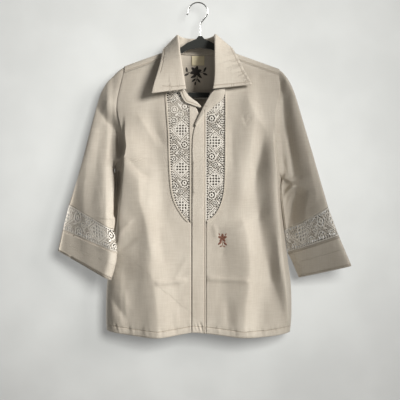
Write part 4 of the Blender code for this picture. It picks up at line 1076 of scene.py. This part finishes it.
def lace_at(s, v, wide=STRIP):
    """Thread height, 0 to 1, and openness of the lace, s in from one edge and v along it."""
    v = (v + REPEAT / 2) % REPEAT - REPEAT / 2
    height = np.full(len(s), HEIGHTS["ground"])
    gap = dots(*turned(s, v, math.pi / 4), GROUND["pitch"], GROUND["radius"])
    off = np.abs(s - DIAMOND["across"]) + np.abs(v)
    for reach in CHAINS:
        chain = np.abs(off - reach) < CHAIN_HALF
        height = np.where(chain, HEIGHTS["chain"], height)
        gap &= ~chain
    eyelets = dots(s - DIAMOND["across"], v, DIAMOND["pitch"], DIAMOND["radius"])
    height = np.where(off < DIAMOND["reach"], HEIGHTS["diamond"], height)
    gap = np.where(off < DIAMOND["reach"], eyelets, gap)
    for along in (-REPEAT, 0, REPEAT):
        for leaf_s, leaf_v, angle in LEAVES:
            p, q = turned(s - leaf_s, v - leaf_v - along, math.radians(angle))
            bow = LEAF["half"] * (1 - (p / LEAF["length"]) ** 2)
            leaf = (np.abs(p) < LEAF["length"]) & (np.abs(q) < bow)
            height = np.where(leaf, HEIGHTS["leaf"], height)
            gap &= ~leaf
        for ros_s, ros_v, radius, petals in ROSETTES:
            inside, up, open_part = rosette(s - ros_s, v - ros_v - along, radius, petals)
            height = np.where(inside, up, height)
            gap = np.where(inside, open_part, gap)
    for from_edge in (s, wide - s):
        rim = from_edge < RIM_WIDE
        step = (v % EDGE_HOLE["pitch"]) - EDGE_HOLE["pitch"] / 2
        small = np.hypot(from_edge - EDGE_HOLE["in"], step) < EDGE_HOLE["radius"]
        height = np.where(rim, HEIGHTS["rim"], height)
        gap = np.where(rim, small, gap)
    return height, gap


print("motifs in a repeat:", len(ROSETTES) + len(LEAVES) + 1)

# %% [markdown]
# ## The two insets
# Each inset starts as a grid whose columns are squeezed between the button band, or the fly,
# and the curved trim. Faces in the pattern's gaps are deleted, the rims of the gaps are
# smoothed, the thread is raised, and the sheet is laid on the shirt by rays from the front.
# Solidify then gives the lace its thickness.

# %% Lace on the front
INSET = {
    -1: {"z": (-0.1300, -0.2446, -0.3392, -0.4473, -0.4955, -0.5180, -0.5366, -0.5520, -0.5662,
               -0.5750, -0.5805),
         "x": (-0.0840, -0.0840, -0.0771, -0.0731, -0.0692, -0.0642, -0.0570, -0.0478, -0.0379,
               -0.0300, -0.0225),
         "neck_z": (-0.1300, -0.1462, -0.1776, -0.2120, -0.2320, -0.2440, -0.2500),
         "neck_x": (-0.0730, -0.0716, -0.0583, -0.0470, -0.0365, -0.0275, -0.0228),
         "edge": -0.0228, "start": -0.339},
    1: {"z": (-0.1300, -0.2581, -0.4473, -0.5009, -0.5220, -0.5366, -0.5500, -0.5610, -0.5720,
              -0.5790),
        "x": (0.0729, 0.0729, 0.0716, 0.0689, 0.0645, 0.0594, 0.0530, 0.0458, 0.0335, 0.0215),
        "neck_z": (-0.1300, -0.1422, -0.1776, -0.2067, -0.2250, -0.2320, -0.2430, -0.2650),
        "neck_x": (0.0640, 0.0620, 0.0540, 0.0477, 0.0430, 0.0390, 0.0310, 0.0203),
        "edge": 0.0203, "start": -0.370},
}
INSET_IN = 0.0203
INSET_TOP = -0.1475
INSET_END = -0.5775
MESH_STEP = 0.00105
LACE_THICK = 0.0009
LACE_SUNK = LACE_THICK / 2 + 0.0003
THREAD_RISE = 0.0007
RIM_ROUNDS = 3
HANDS = ((-1, "right"), (1, "left"))


def flat_grid(across, along):
    """A grid of a unit square's points from 0 to 1, with this many steps each way."""
    bm = bmesh.new()
    bmesh.ops.create_grid(bm, x_segments=across, y_segments=along, size=0.5)
    bmesh.ops.translate(bm, verts=bm.verts, vec=(0.5, 0.5, 0))
    return bm


def cut_lace(bm, flat_of):
    """Delete the gaps of the pattern from a sheet and smooth their rims in its own plane."""
    spots = np.array([face.calc_center_median() for face in bm.faces])
    _, gap = lace_at(*flat_of(spots))
    rim = {vert for vert in bm.verts if vert.is_boundary}
    bmesh.ops.delete(bm, geom=[f for f, cut in zip(bm.faces[:], gap) if cut], context="FACES")
    loose = [v for v in bm.verts if v.is_boundary and v.is_valid and v not in rim]
    for _ in range(RIM_ROUNDS):
        bmesh.ops.smooth_vert(bm, verts=loose, factor=0.5, use_axis_x=True, use_axis_y=True,
                              use_axis_z=True)


def thickened(piece):
    """The sheet of lace with a thickness, half of it to each side."""
    both_sides = piece.modifiers.new("thickness", "SOLIDIFY")
    both_sides.thickness = LACE_THICK
    both_sides.offset = 0
    return applied(piece)


def tree_of(piece):
    """A piece that rays can be thrown at."""
    return BVHTree.FromObject(piece, bpy.context.evaluated_depsgraph_get())


def wall_tree(name):
    """The refined skin of a CAD wall for rays alone: the skin itself is thrown away."""
    skin = shell(name)
    tree = tree_of(skin)
    bpy.data.objects.remove(skin, do_unlink=True)
    return tree


def fill_misses(values):
    """Rays that fell through a hole take the level of the nearest rays that didn't."""
    known = np.flatnonzero(~np.isnan(values))
    return np.interp(np.arange(len(values)), known, values[known])


def inset(name, hand):
    """One inset: a grid in the front view, cut, laid on its wall and given a thickness."""
    plan = INSET[hand]
    tree = wall_tree(name)
    outer_z, outer_x = np.array(plan["z"])[::-1], np.array(plan["x"])[::-1]
    neck_z, neck_x = np.array(plan["neck_z"])[::-1], np.array(plan["neck_x"])[::-1]

    def flat_of(spots):
        """Place on the strip, from the button band outwards, and the strip's width there."""
        wide = np.abs(np.interp(spots[:, 2], outer_z, outer_x)) - INSET_IN
        return np.abs(spots[:, 0]) - INSET_IN, plan["start"] - spots[:, 2], wide

    rows = round((INSET_TOP - INSET_END) / MESH_STEP)
    bm = flat_grid(round(STRIP / MESH_STEP), rows)
    for vert in bm.verts:
        z = INSET_TOP + (INSET_END - INSET_TOP) * vert.co.y
        outer = float(np.interp(z, outer_z, outer_x))
        inner = float(np.interp(z, neck_z, neck_x)) if z > neck_z[0] else plan["edge"]
        vert.co = (inner + (outer - inner) * vert.co.x, 0, z)
    if hand < 0:
        bmesh.ops.reverse_faces(bm, faces=bm.faces)
    cut_lace(bm, flat_of)
    piece = add_piece(f"{name}_cloth", bm)
    points = points_of(piece)
    hits = [tree.ray_cast(Vector((x, -REACH, z)), TOWARDS_BACK)[0] for x, _, z in points]
    level = np.array([np.nan if hit is None else hit.y for hit in hits])
    order = np.lexsort((points[:, 0], np.round(points[:, 2], 5)))
    level[order] = fill_misses(level[order])
    across, along, wide = flat_of(points)
    height, _ = lace_at(across, along, wide)
    set_attribute(piece, "across", across)
    set_attribute(piece, "along", along)
    points[:, 1] = level + LACE_SUNK - height * THREAD_RISE
    press_front(points)
    set_points(piece, points)
    set_attribute(piece, "motif", height)
    return dress(thickened(piece), LACEWORK, "silver_white_lace", name)


for hand, word in HANDS:
    name = f"lace_inset_{word}"
    cloth[name] = inset(name, hand)
    print(name, len(cloth[name].data.polygons), "faces")

# %% [markdown]
# ## The lace bands of the sleeves
# The same pattern runs round each sleeve. The strip's grid is wound into a flattened tube
# between three rings, with its columns as long as the strip's own, then pushed against the
# CAD tube by rays from outside.

# %% Lace on the sleeves
BANDS = {hand: rings[6:9] for hand, rings in SLEEVE_RINGS.items()}
ROUND_STEPS = 288
BAND_STEPS = 60
WALK_STEPS = 720
STAND_OFF = 0.02
BAND_END = 0.006
DOUBLE = 0.0002


def ring_point(row, angle):
    """A point of a flattened ring and the way out from the tube there."""
    ring = dict(zip(RING, row))
    outer = Vector((ring["outer_x"], ring["outer_y"], ring["outer_z"]))
    inner = Vector((ring["inner_x"], ring["inner_y"], ring["inner_z"]))
    arm = (outer - inner) / 2
    point = (outer + inner) / 2 + arm * math.cos(angle)
    point.y -= ring["half"] * math.sin(angle)
    out = arm.normalized() * math.cos(angle) / arm.length
    out.y -= math.sin(angle) / ring["half"]
    return point, out.normalized()


def even_turns(row, count):
    """Angles at which a walk round the ring has even steps, and the length of the walk."""
    angles = np.linspace(0, FULL_TURN, WALK_STEPS + 1)
    walk = np.array([ring_point(row, a)[0] for a in angles])
    run = np.concatenate(([0], np.cumsum(np.linalg.norm(np.diff(walk, axis=0), axis=1))))
    return np.interp(np.linspace(0, run[-1], count + 1), run, angles), run[-1]


def sleeve_band(name, hand):
    """One band: the strip's grid, cut flat, wound round the sleeve and given a thickness."""
    tree = wall_tree(name)
    first, second, third = BANDS[hand]
    turns, around = even_turns(second, ROUND_STEPS)
    repeats = round(around / REPEAT)
    bm = flat_grid(ROUND_STEPS, BAND_STEPS)
    bmesh.ops.scale(bm, verts=bm.verts, vec=(REPEAT * repeats, STRIP, 1))
    cut_lace(bm, lambda spots: (spots[:, 1], spots[:, 0]))
    flat = np.array([vert.co for vert in bm.verts])
    height, _ = lace_at(flat[:, 1], flat[:, 0])
    angles = np.interp(flat[:, 0] / (REPEAT * repeats) * ROUND_STEPS, range(ROUND_STEPS + 1), turns)
    for vert, angle, rise in zip(bm.verts, angles, height):
        share = BAND_END + (1 - 2 * BAND_END) * vert.co.y / STRIP
        rows = (first, second) if share < 0.5 else (second, third)
        (p, out), (q, _) = ring_point(rows[0], angle), ring_point(rows[1], angle)
        place = p.lerp(q, share * 2 - (share >= 0.5))
        hit = tree.ray_cast(place + out * STAND_OFF, -out, 2 * STAND_OFF)[0]
        vert.co = (hit or place) - out * (LACE_SUNK - rise * THREAD_RISE)
    for layer, values in (("motif", height), ("across", flat[:, 1]), ("along", flat[:, 0])):
        made = bm.verts.layers.float.new(layer)
        for vert, value in zip(bm.verts, values):
            vert[made] = value
    bmesh.ops.remove_doubles(bm, verts=bm.verts, dist=DOUBLE)
    bmesh.ops.recalc_face_normals(bm, faces=bm.faces)
    piece = add_piece(f"{name}_cloth", bm)
    press(piece, press_sleeve)
    return dress(thickened(piece), LACEWORK, "silver_white_lace", name)


for hand, word in HANDS:
    name = f"sleeve_lace_{word}"
    cloth[name] = sleeve_band(name, hand)
    print(name, len(cloth[name].data.polygons), "faces")

# %% [markdown]
# ## Sewn lines
# A topstitched edge is a row of short stitches a few millimetres in from it. The thread pulls the
# cloth down along the row. Each row is a path on the cloth's outside, found by rays. Its distance,
# with a sign for the side, goes into the attribute `seam` of the piece, where the finish turns it
# into a groove with painted shade in it, and a small spindle of thread is laid for every stitch.

# %% Paths of the sewn rows
STITCH = {"pitch": 0.0031, "length": 0.0023, "thick": 0.00034, "wide": 0.00042}
SHORTEST, LONGEST_GAP = 0.4, 2.0


def resample(points, pitch):
    """The same path in even steps of about this pitch."""
    path = np.array(points, dtype=float)
    run = np.concatenate(([0], np.cumsum(np.linalg.norm(np.diff(path, axis=0), axis=1))))
    marks = np.linspace(0, run[-1], max(2, round(run[-1] / pitch) + 1))
    return np.stack([np.interp(marks, run, path[:, i]) for i in range(path.shape[1])], axis=1)


def landed(tree, rays):
    """Where rays meet a piece and how it faces there; rays that miss it are left out."""
    hits = [tree.ray_cast(start, way, reach) for start, way, reach in rays]
    return [(spot, normal) for spot, normal, _, _ in hits if spot is not None]


def laid(points, tree, way=TOWARDS_BACK):
    """A front-view path thrown onto a piece, from the front or from the back."""
    path = resample(points, STITCH["pitch"])
    return landed(tree, [(Vector((x, -REACH * way.y, z)), way, 2 * REACH) for x, z in path])


def from_outside(tree, spots):
    """Places near a piece, each with the way out, thrown onto its outside."""
    rays = [(place + out * STAND_OFF, -out, 2 * STAND_OFF) for place, out in spots]
    return landed(tree, rays)


def shifted(points, by):
    """A front-view path moved sideways, to the left of the way it runs for a positive number."""
    path = np.array(points, dtype=float)
    run = np.gradient(path, axis=0)
    run /= np.linalg.norm(run, axis=1)[:, None]
    return path + np.stack([-run[:, 1], run[:, 0]], axis=1) * by


def stitches(name, rows):
    """One mesh of all the stitches of these rows, each a small spindle along its row."""
    bm = bmesh.new()
    count = 0
    for row in rows:
        for (here, up), (there, _) in zip(row, row[1:]):
            along = there - here
            if not SHORTEST < along.length / STITCH["pitch"] < LONGEST_GAP:
                continue
            along.normalize()
            side = along.cross(up).normalized()
            frame_of = Matrix((along, side, side.cross(along))).transposed().to_4x4()
            size = Matrix.Diagonal((STITCH["length"] / 2, STITCH["wide"], STITCH["thick"], 1))
            frame_of.translation = (here + there) / 2
            bmesh.ops.create_icosphere(bm, subdivisions=1, radius=1.0, matrix=frame_of @ size)
            count += 1
    dress(add_piece(name, bm), THREAD, "cream_twill")
    print(name, count, "stitches")


trees = {name: tree_of(piece) for name, piece in cloth.items()}
print("pieces that rows can be laid on:", len(trees))

# %% Rows on the front
HEM_ROW = {"from": -0.232, "to": 0.236, "steps": 150}
HEM_STOPS = {"front_right": (-1.0, -0.0182), "front_left": (0.0215, 1.0),
             "fly_placket": (-0.0135, 0.0195)}
LAPEL_ROWS = {
    "facing_right": ((-0.0500, -0.2330), (-0.0430, -0.2520), (-0.0340, -0.2680), (-0.0133, -0.2745),
                     (0.0050, -0.2812)),
    "facing_left": ((0.0700, -0.2290), (0.0715, -0.2530), (0.0596, -0.2626), (0.0403, -0.2796),
                    (0.0195, -0.2980), (0.0090, -0.3090), (-0.0045, -0.3300)),
}
FLY_ROW = ((0.0159, -0.3020), (0.0159, -0.8640))
TRIM_STEP, LAPEL_STEP, LAPEL_IN = 0.01, 0.004, 0.0050
hem_x = np.linspace(HEM_ROW["from"], HEM_ROW["to"], HEM_ROW["steps"])
hem_row = np.stack([hem_x, hem_line(hem_x)], axis=1)
front_rows = []
for name, (start, stop) in HEM_STOPS.items():
    front_rows.append(laid(hem_row[(hem_x > start) & (hem_x < stop)], trees[name]))
front_rows.append(laid(FLY_ROW, trees["fly_placket"]))
for hand, word in HANDS:
    trim = list(zip(INSET[hand]["x"][1:], INSET[hand]["z"][1:]))
    front_rows.append(laid(resample(trim, TRIM_STEP), trees[f"inset_trim_{word}"]))
    edge = shifted(resample(LAPEL_ROWS[f"facing_{word}"], LAPEL_STEP), LAPEL_IN)
    front_rows.append(laid(edge, trees[f"facing_{word}"]))
stitches("stitches_front", front_rows)

# %% Rows on the back and the yoke
SEAM_UP, YOKE_UP = 0.003, 0.0035
BACK_SEAM_X = (-0.19, 0.21)
YOKE_SEAMS = ((-0.085, -0.190), (0.078, 0.208))
YOKE_STEPS = 30
seam_row = [(x, BACK_SEAM_Z + SEAM_UP) for x in BACK_SEAM_X]
back_rows = [laid(hem_row, trees["back_panel"], TOWARDS_FRONT),
             laid(seam_row, trees["back_yoke"], TOWARDS_FRONT)]
for start, stop in YOKE_SEAMS:
    across = np.linspace(start, stop, YOKE_STEPS)
    path = np.stack([across, yoke_seam(across) + YOKE_UP], axis=1)
    back_rows.append(laid(path, trees["back_yoke"]))
stitches("stitches_back", back_rows)

# %% Rows round the cuffs
CUFF_RINGS = {hand: rings[9:11] for hand, rings in SLEEVE_RINGS.items()}
CUFF_ROUND = 0.3
CUFF_TOP, CUFF_HEM = 0.10, 0.88


def ring_row(first, second, share, tree):
    """A row round a tube, part of the way from one ring of a table to the next."""
    row = [a + (b - a) * share for a, b in zip(first, second)]
    turns, _ = even_turns(row, round(CUFF_ROUND / STITCH["pitch"]))
    return from_outside(tree, [ring_point(row, angle) for angle in turns])


tube_rows = []
for hand, word in HANDS:
    upper, lower = CUFF_RINGS[hand]
    tube_rows.append(ring_row(BANDS[hand][2], upper, CUFF_TOP, trees[f"cuff_{word}"]))
    tube_rows.append(ring_row(upper, lower, CUFF_HEM, trees[f"cuff_{word}"]))
stitches("stitches_cuffs", tube_rows)

# %% The collar's row
LEAF_EDGE = (
    (-0.1219, -0.0410, -0.2465), (-0.1165, -0.0400, -0.2270), (-0.1110, -0.0375, -0.2080),
    (-0.1045, -0.0330, -0.1870), (-0.0985, -0.0260, -0.1620), (-0.0945, -0.0150, -0.1400),
    (-0.0920, -0.0010, -0.1210), (-0.0905, 0.0170, -0.1240), (-0.0810, 0.0370, -0.1370),
    (-0.0560, 0.0490, -0.1470), (-0.0010, 0.0550, -0.1520), (0.0470, 0.0490, -0.1470),
    (0.0720, 0.0370, -0.1360), (0.0845, 0.0170, -0.1230), (0.0890, -0.0010, -0.1180),
    (0.0950, -0.0150, -0.1300), (0.1040, -0.0260, -0.1480), (0.1140, -0.0330, -0.1690),
    (0.1230, -0.0375, -0.1870), (0.1325, -0.0400, -0.2040), (0.1420, -0.0410, -0.2213),
)
LEAF_FRONTS = (((-0.0318, -0.0480, -0.2337), LEAF_EDGE[0]),
               (LEAF_EDGE[-1], (0.0392, -0.0480, -0.2332)))
COLLAR_HEART = Vector((0, 0, -0.10))
LEAF_IN, LEAF_ABOVE = 0.0070, 0.015
ROW_ENDS = slice(2, -2)


def leaf_row(edge):
    """The path that runs inside a stretch of the leaf's edge, on the collar's outside."""
    path = resample(edge, STITCH["pitch"])
    rays = []
    for place, run in zip(path, np.gradient(path, axis=0)):
        place, run = Vector(place), Vector(run).normalized()
        inward = COLLAR_HEART - place
        inward = (inward - run * inward.dot(run)).normalized()
        out = run.cross(inward)
        if out.dot(place - COLLAR_HEART) < 0:
            out = -out
        rays.append((place + inward * LEAF_IN + out * LEAF_ABOVE, -out, 2 * LEAF_ABOVE))
    return landed(trees["collar"], rays)


collar_rows = [leaf_row(edge)[ROW_ENDS] for edge in (LEAF_EDGE, *LEAF_FRONTS)]
stitches("stitches_collar", collar_rows)

# %% Distance to the sewn rows
SEAM_REACH = 0.02


def mark_rows(piece, rows):
    """Write each point's distance from the rows, with a sign for the side, for the finish."""
    spots, sides = [], []
    for row in rows:
        for (here, up), (there, _) in zip(row, row[1:]):
            spots.append((here + there) / 2)
            sides.append((there - here).cross(up).normalized())
    tree = KDTree(len(spots))
    for i, spot in enumerate(spots):
        tree.insert(spot, i)
    tree.balance()
    found = []
    for point in points_of(piece):
        spot, i, away = tree.find(point)
        side = (Vector(point) - spot).dot(sides[i])
        found.append(side if away < SEAM_REACH else math.copysign(SEAM_REACH, side))
    set_attribute(piece, "seam", found)


MARKED = (
    (collar_rows, ("collar",)),
    (front_rows, ("front_right", "front_left", "fly_placket", "facing_right", "facing_left")),
    (back_rows, ("back_panel", "back_yoke")),
    (tube_rows, ("cuff_right", "cuff_left")),
)
UNMARKED = ("inset_trim_right", "inset_trim_left", "button_band", "sleeve_right", "sleeve_left")
for rows, names in MARKED:
    for name in names:
        mark_rows(cloth[name], rows)
for name in UNMARKED:
    set_attribute(cloth[name], "seam", np.full(len(cloth[name].data.vertices), SEAM_REACH))
print("sewn rows:", sum(len(rows) for rows, _ in MARKED))

# %% [markdown]
# ## Print and embroidery
# Inside the neck the shirt has a dark print, and low on the wearer's left front a small
# embroidered badge. Both are plain sprigs here: leaves along a bent stem and a small round
# flower. Every petal and leaf is a squashed sphere, bent onto the cloth by rays. The print is
# a film of ink and the embroidery a low pad of satin stitches.

# %% Sprigs
BLADE_STEPS = {"u_segments": 14, "v_segments": 7}
BELLY = -0.2
HEART_TURN = 0.4
PETAL = {"out": 0.55, "wide": 0.62, "high": 1.15}
HEART = {"wide": 0.5, "high": 1.6}


def blade(bm, centre, angle, length, width, height):
    """A petal or leaf: a flattened sphere, pointed at both ends, lying in the front view."""
    made = bmesh.ops.create_uvsphere(bm, radius=1.0, **BLADE_STEPS)["verts"]
    c, d = math.cos(angle), math.sin(angle)
    for vert in made:
        x, y, z = vert.co
        taper = (1 - abs(z)) ** 0.25 if abs(z) < 1 else 0.0
        along, across = z * length / 2, x * width / 2 * taper
        vert.co = (centre[0] + along * c - across * d, max(y, BELLY) * height,
                   centre[1] + along * d + across * c)


def bend_onto(bm, tree, start):
    """Put a flat sprig onto the cloth: what stood up from the plane stands off the cloth."""
    for vert in bm.verts:
        hit = tree.ray_cast(Vector((vert.co.x, start, vert.co.z)), TOWARDS_BACK)[0]
        vert.co.y = (hit.y if hit else start) - vert.co.y


def sprig(name, plan, tree, finish, slot):
    """Leaves and a flower from a plan in units of the sprig's size, bent onto the cloth."""
    size, height = plan["size"], plan["height"]

    def spot(x, z):
        return plan["centre"][0] + x * size, plan["centre"][1] + z * size

    bm = bmesh.new()
    for x, z, angle, length, width in plan["leaves"]:
        blade(bm, spot(x, z), math.radians(angle), length * size, width * size, height)
    x, z, radius, count = plan["flower"]
    for i in range(count):
        turn = FULL_TURN * (i + 0.25) / count
        out = radius * PETAL["out"]
        blade(bm, spot(x + math.cos(turn) * out, z + math.sin(turn) * out), turn, radius * size,
              radius * PETAL["wide"] * size, height * PETAL["high"])
    wide = radius * HEART["wide"] * size
    blade(bm, spot(x, z), HEART_TURN, wide, wide, height * HEART["high"])
    bmesh.ops.recalc_face_normals(bm, faces=bm.faces)
    bend_onto(bm, tree, plan["start"])
    piece = dress(add_piece(name, bm), finish, slot)
    print(name, len(piece.data.polygons), "faces")


# %% The print inside the neck
NECK_SPRIG = {
    "centre": (-0.0085, -0.1880), "size": 0.052, "height": 0.00012, "start": 0.006,
    "flower": (0.05, 0.16, 0.30, 6),
    "leaves": (
        (0.10, -0.22, 74, 0.62, 0.030), (-0.07, -0.08, 28, 0.34, 0.13),
        (0.24, -0.06, 138, 0.34, 0.13), (-0.05, -0.27, 40, 0.27, 0.11),
        (0.20, -0.29, 128, 0.27, 0.11), (-0.30, 0.12, 160, 0.46, 0.030),
        (-0.42, 0.26, 100, 0.28, 0.12), (-0.42, 0.02, 205, 0.28, 0.12),
        (0.38, 0.14, 12, 0.40, 0.030), (0.52, 0.28, 60, 0.28, 0.12),
        (0.53, 0.04, -24, 0.28, 0.12), (0.02, -0.44, 84, 0.20, 0.10)),
}
sprig("neck_print", NECK_SPRIG, trees["back_yoke"], PRINT, "label_tape")

# %% The badge on the front
BADGE = {
    "centre": (0.0636, -0.6265), "size": 0.034, "height": 0.0005, "start": -REACH,
    "flower": (0.0, 0.17, 0.34, 5),
    "leaves": (
        (0.00, -0.26, 88, 0.50, 0.055), (-0.20, -0.22, 40, 0.40, 0.17),
        (0.21, -0.26, 138, 0.38, 0.17), (-0.12, -0.46, 30, 0.22, 0.10),
        (0.13, -0.47, 150, 0.22, 0.10), (-0.24, 0.46, 118, 0.22, 0.10),
        (0.25, 0.45, 62, 0.22, 0.10)),
}
sprig("front_badge", BADGE, trees["front_left"], SPRIG, "cream_twill")

# %% [markdown]
# ## What each cloth was cut to
# A garment's pieces are flat before they are sewn. The table gives for each the width and length of
# the rectangle it was cut from, its own flat area where its outline is curved, whether it hangs or
# is folded, and the piece that carries it; the cell prints the flat area beside half the area of
# the hung wall.
# A sleeve, a lace band and a cuff are cut as one sheet that goes all the way round.

# %% Sheets
SHEETS = {
    "back_yoke_cloth": (0.470, 0.200, 0.062, "hung", "hanger_frame"),
    "collar_cloth": (0.480, 0.120, 0.048, "folded", "back_yoke_cloth"),
    "front_right_cloth": (0.272, 0.735, 0.150, "hung", "hanger_frame"),
    "front_left_cloth": (0.272, 0.735, 0.150, "hung", "hanger_frame"),
    "back_panel_cloth": (0.560, 0.640, 0.320, "hung", "back_yoke_cloth"),
    "sleeve_right_cloth": (0.400, 0.300, 0.085, "hung", "front_right_cloth"),
    "sleeve_left_cloth": (0.400, 0.300, 0.085, "hung", "front_left_cloth"),
    "sleeve_lace_right_cloth": (0.320, 0.066, None, "hung", "sleeve_right_cloth"),
    "sleeve_lace_left_cloth": (0.300, 0.066, None, "hung", "sleeve_left_cloth"),
    "cuff_right_cloth": (0.330, 0.085, 0.0235, "hung", "sleeve_lace_right_cloth"),
    "cuff_left_cloth": (0.330, 0.085, 0.0240, "hung", "sleeve_lace_left_cloth"),
    "lace_inset_right_cloth": (0.062, 0.440, 0.0205, "hung", "front_right_cloth"),
    "lace_inset_left_cloth": (0.055, 0.440, 0.0190, "hung", "front_left_cloth"),
    "inset_trim_right_cloth": (0.010, 0.450, 0.0024, "folded", "lace_inset_right_cloth"),
    "inset_trim_left_cloth": (0.010, 0.450, 0.0024, "folded", "lace_inset_left_cloth"),
    "button_band_cloth": (0.034, 0.610, None, "hung", "front_right_cloth"),
    "fly_placket_cloth": (0.036, 0.600, None, "hung", "front_left_cloth"),
    "facing_right_cloth": (0.050, 0.060, 0.0014, "folded", "collar_cloth"),
    "facing_left_cloth": (0.080, 0.105, 0.0030, "folded", "collar_cloth"),
    "neck_label_cloth": (0.034, 0.027, None, "hung", "back_yoke_cloth"),
}


def wall_area(piece):
    """Half the area of a thin closed wall."""
    areas = np.empty(len(piece.data.polygons))
    piece.data.polygons.foreach_get("area", areas)
    return areas.sum() / 2


for name, (wide, long, cut, held, carrier) in SHEETS.items():
    piece = bpy.data.objects[name]
    print(name, "cut", cut or round(wide * long, 4), "hangs as", round(wall_area(piece), 4))
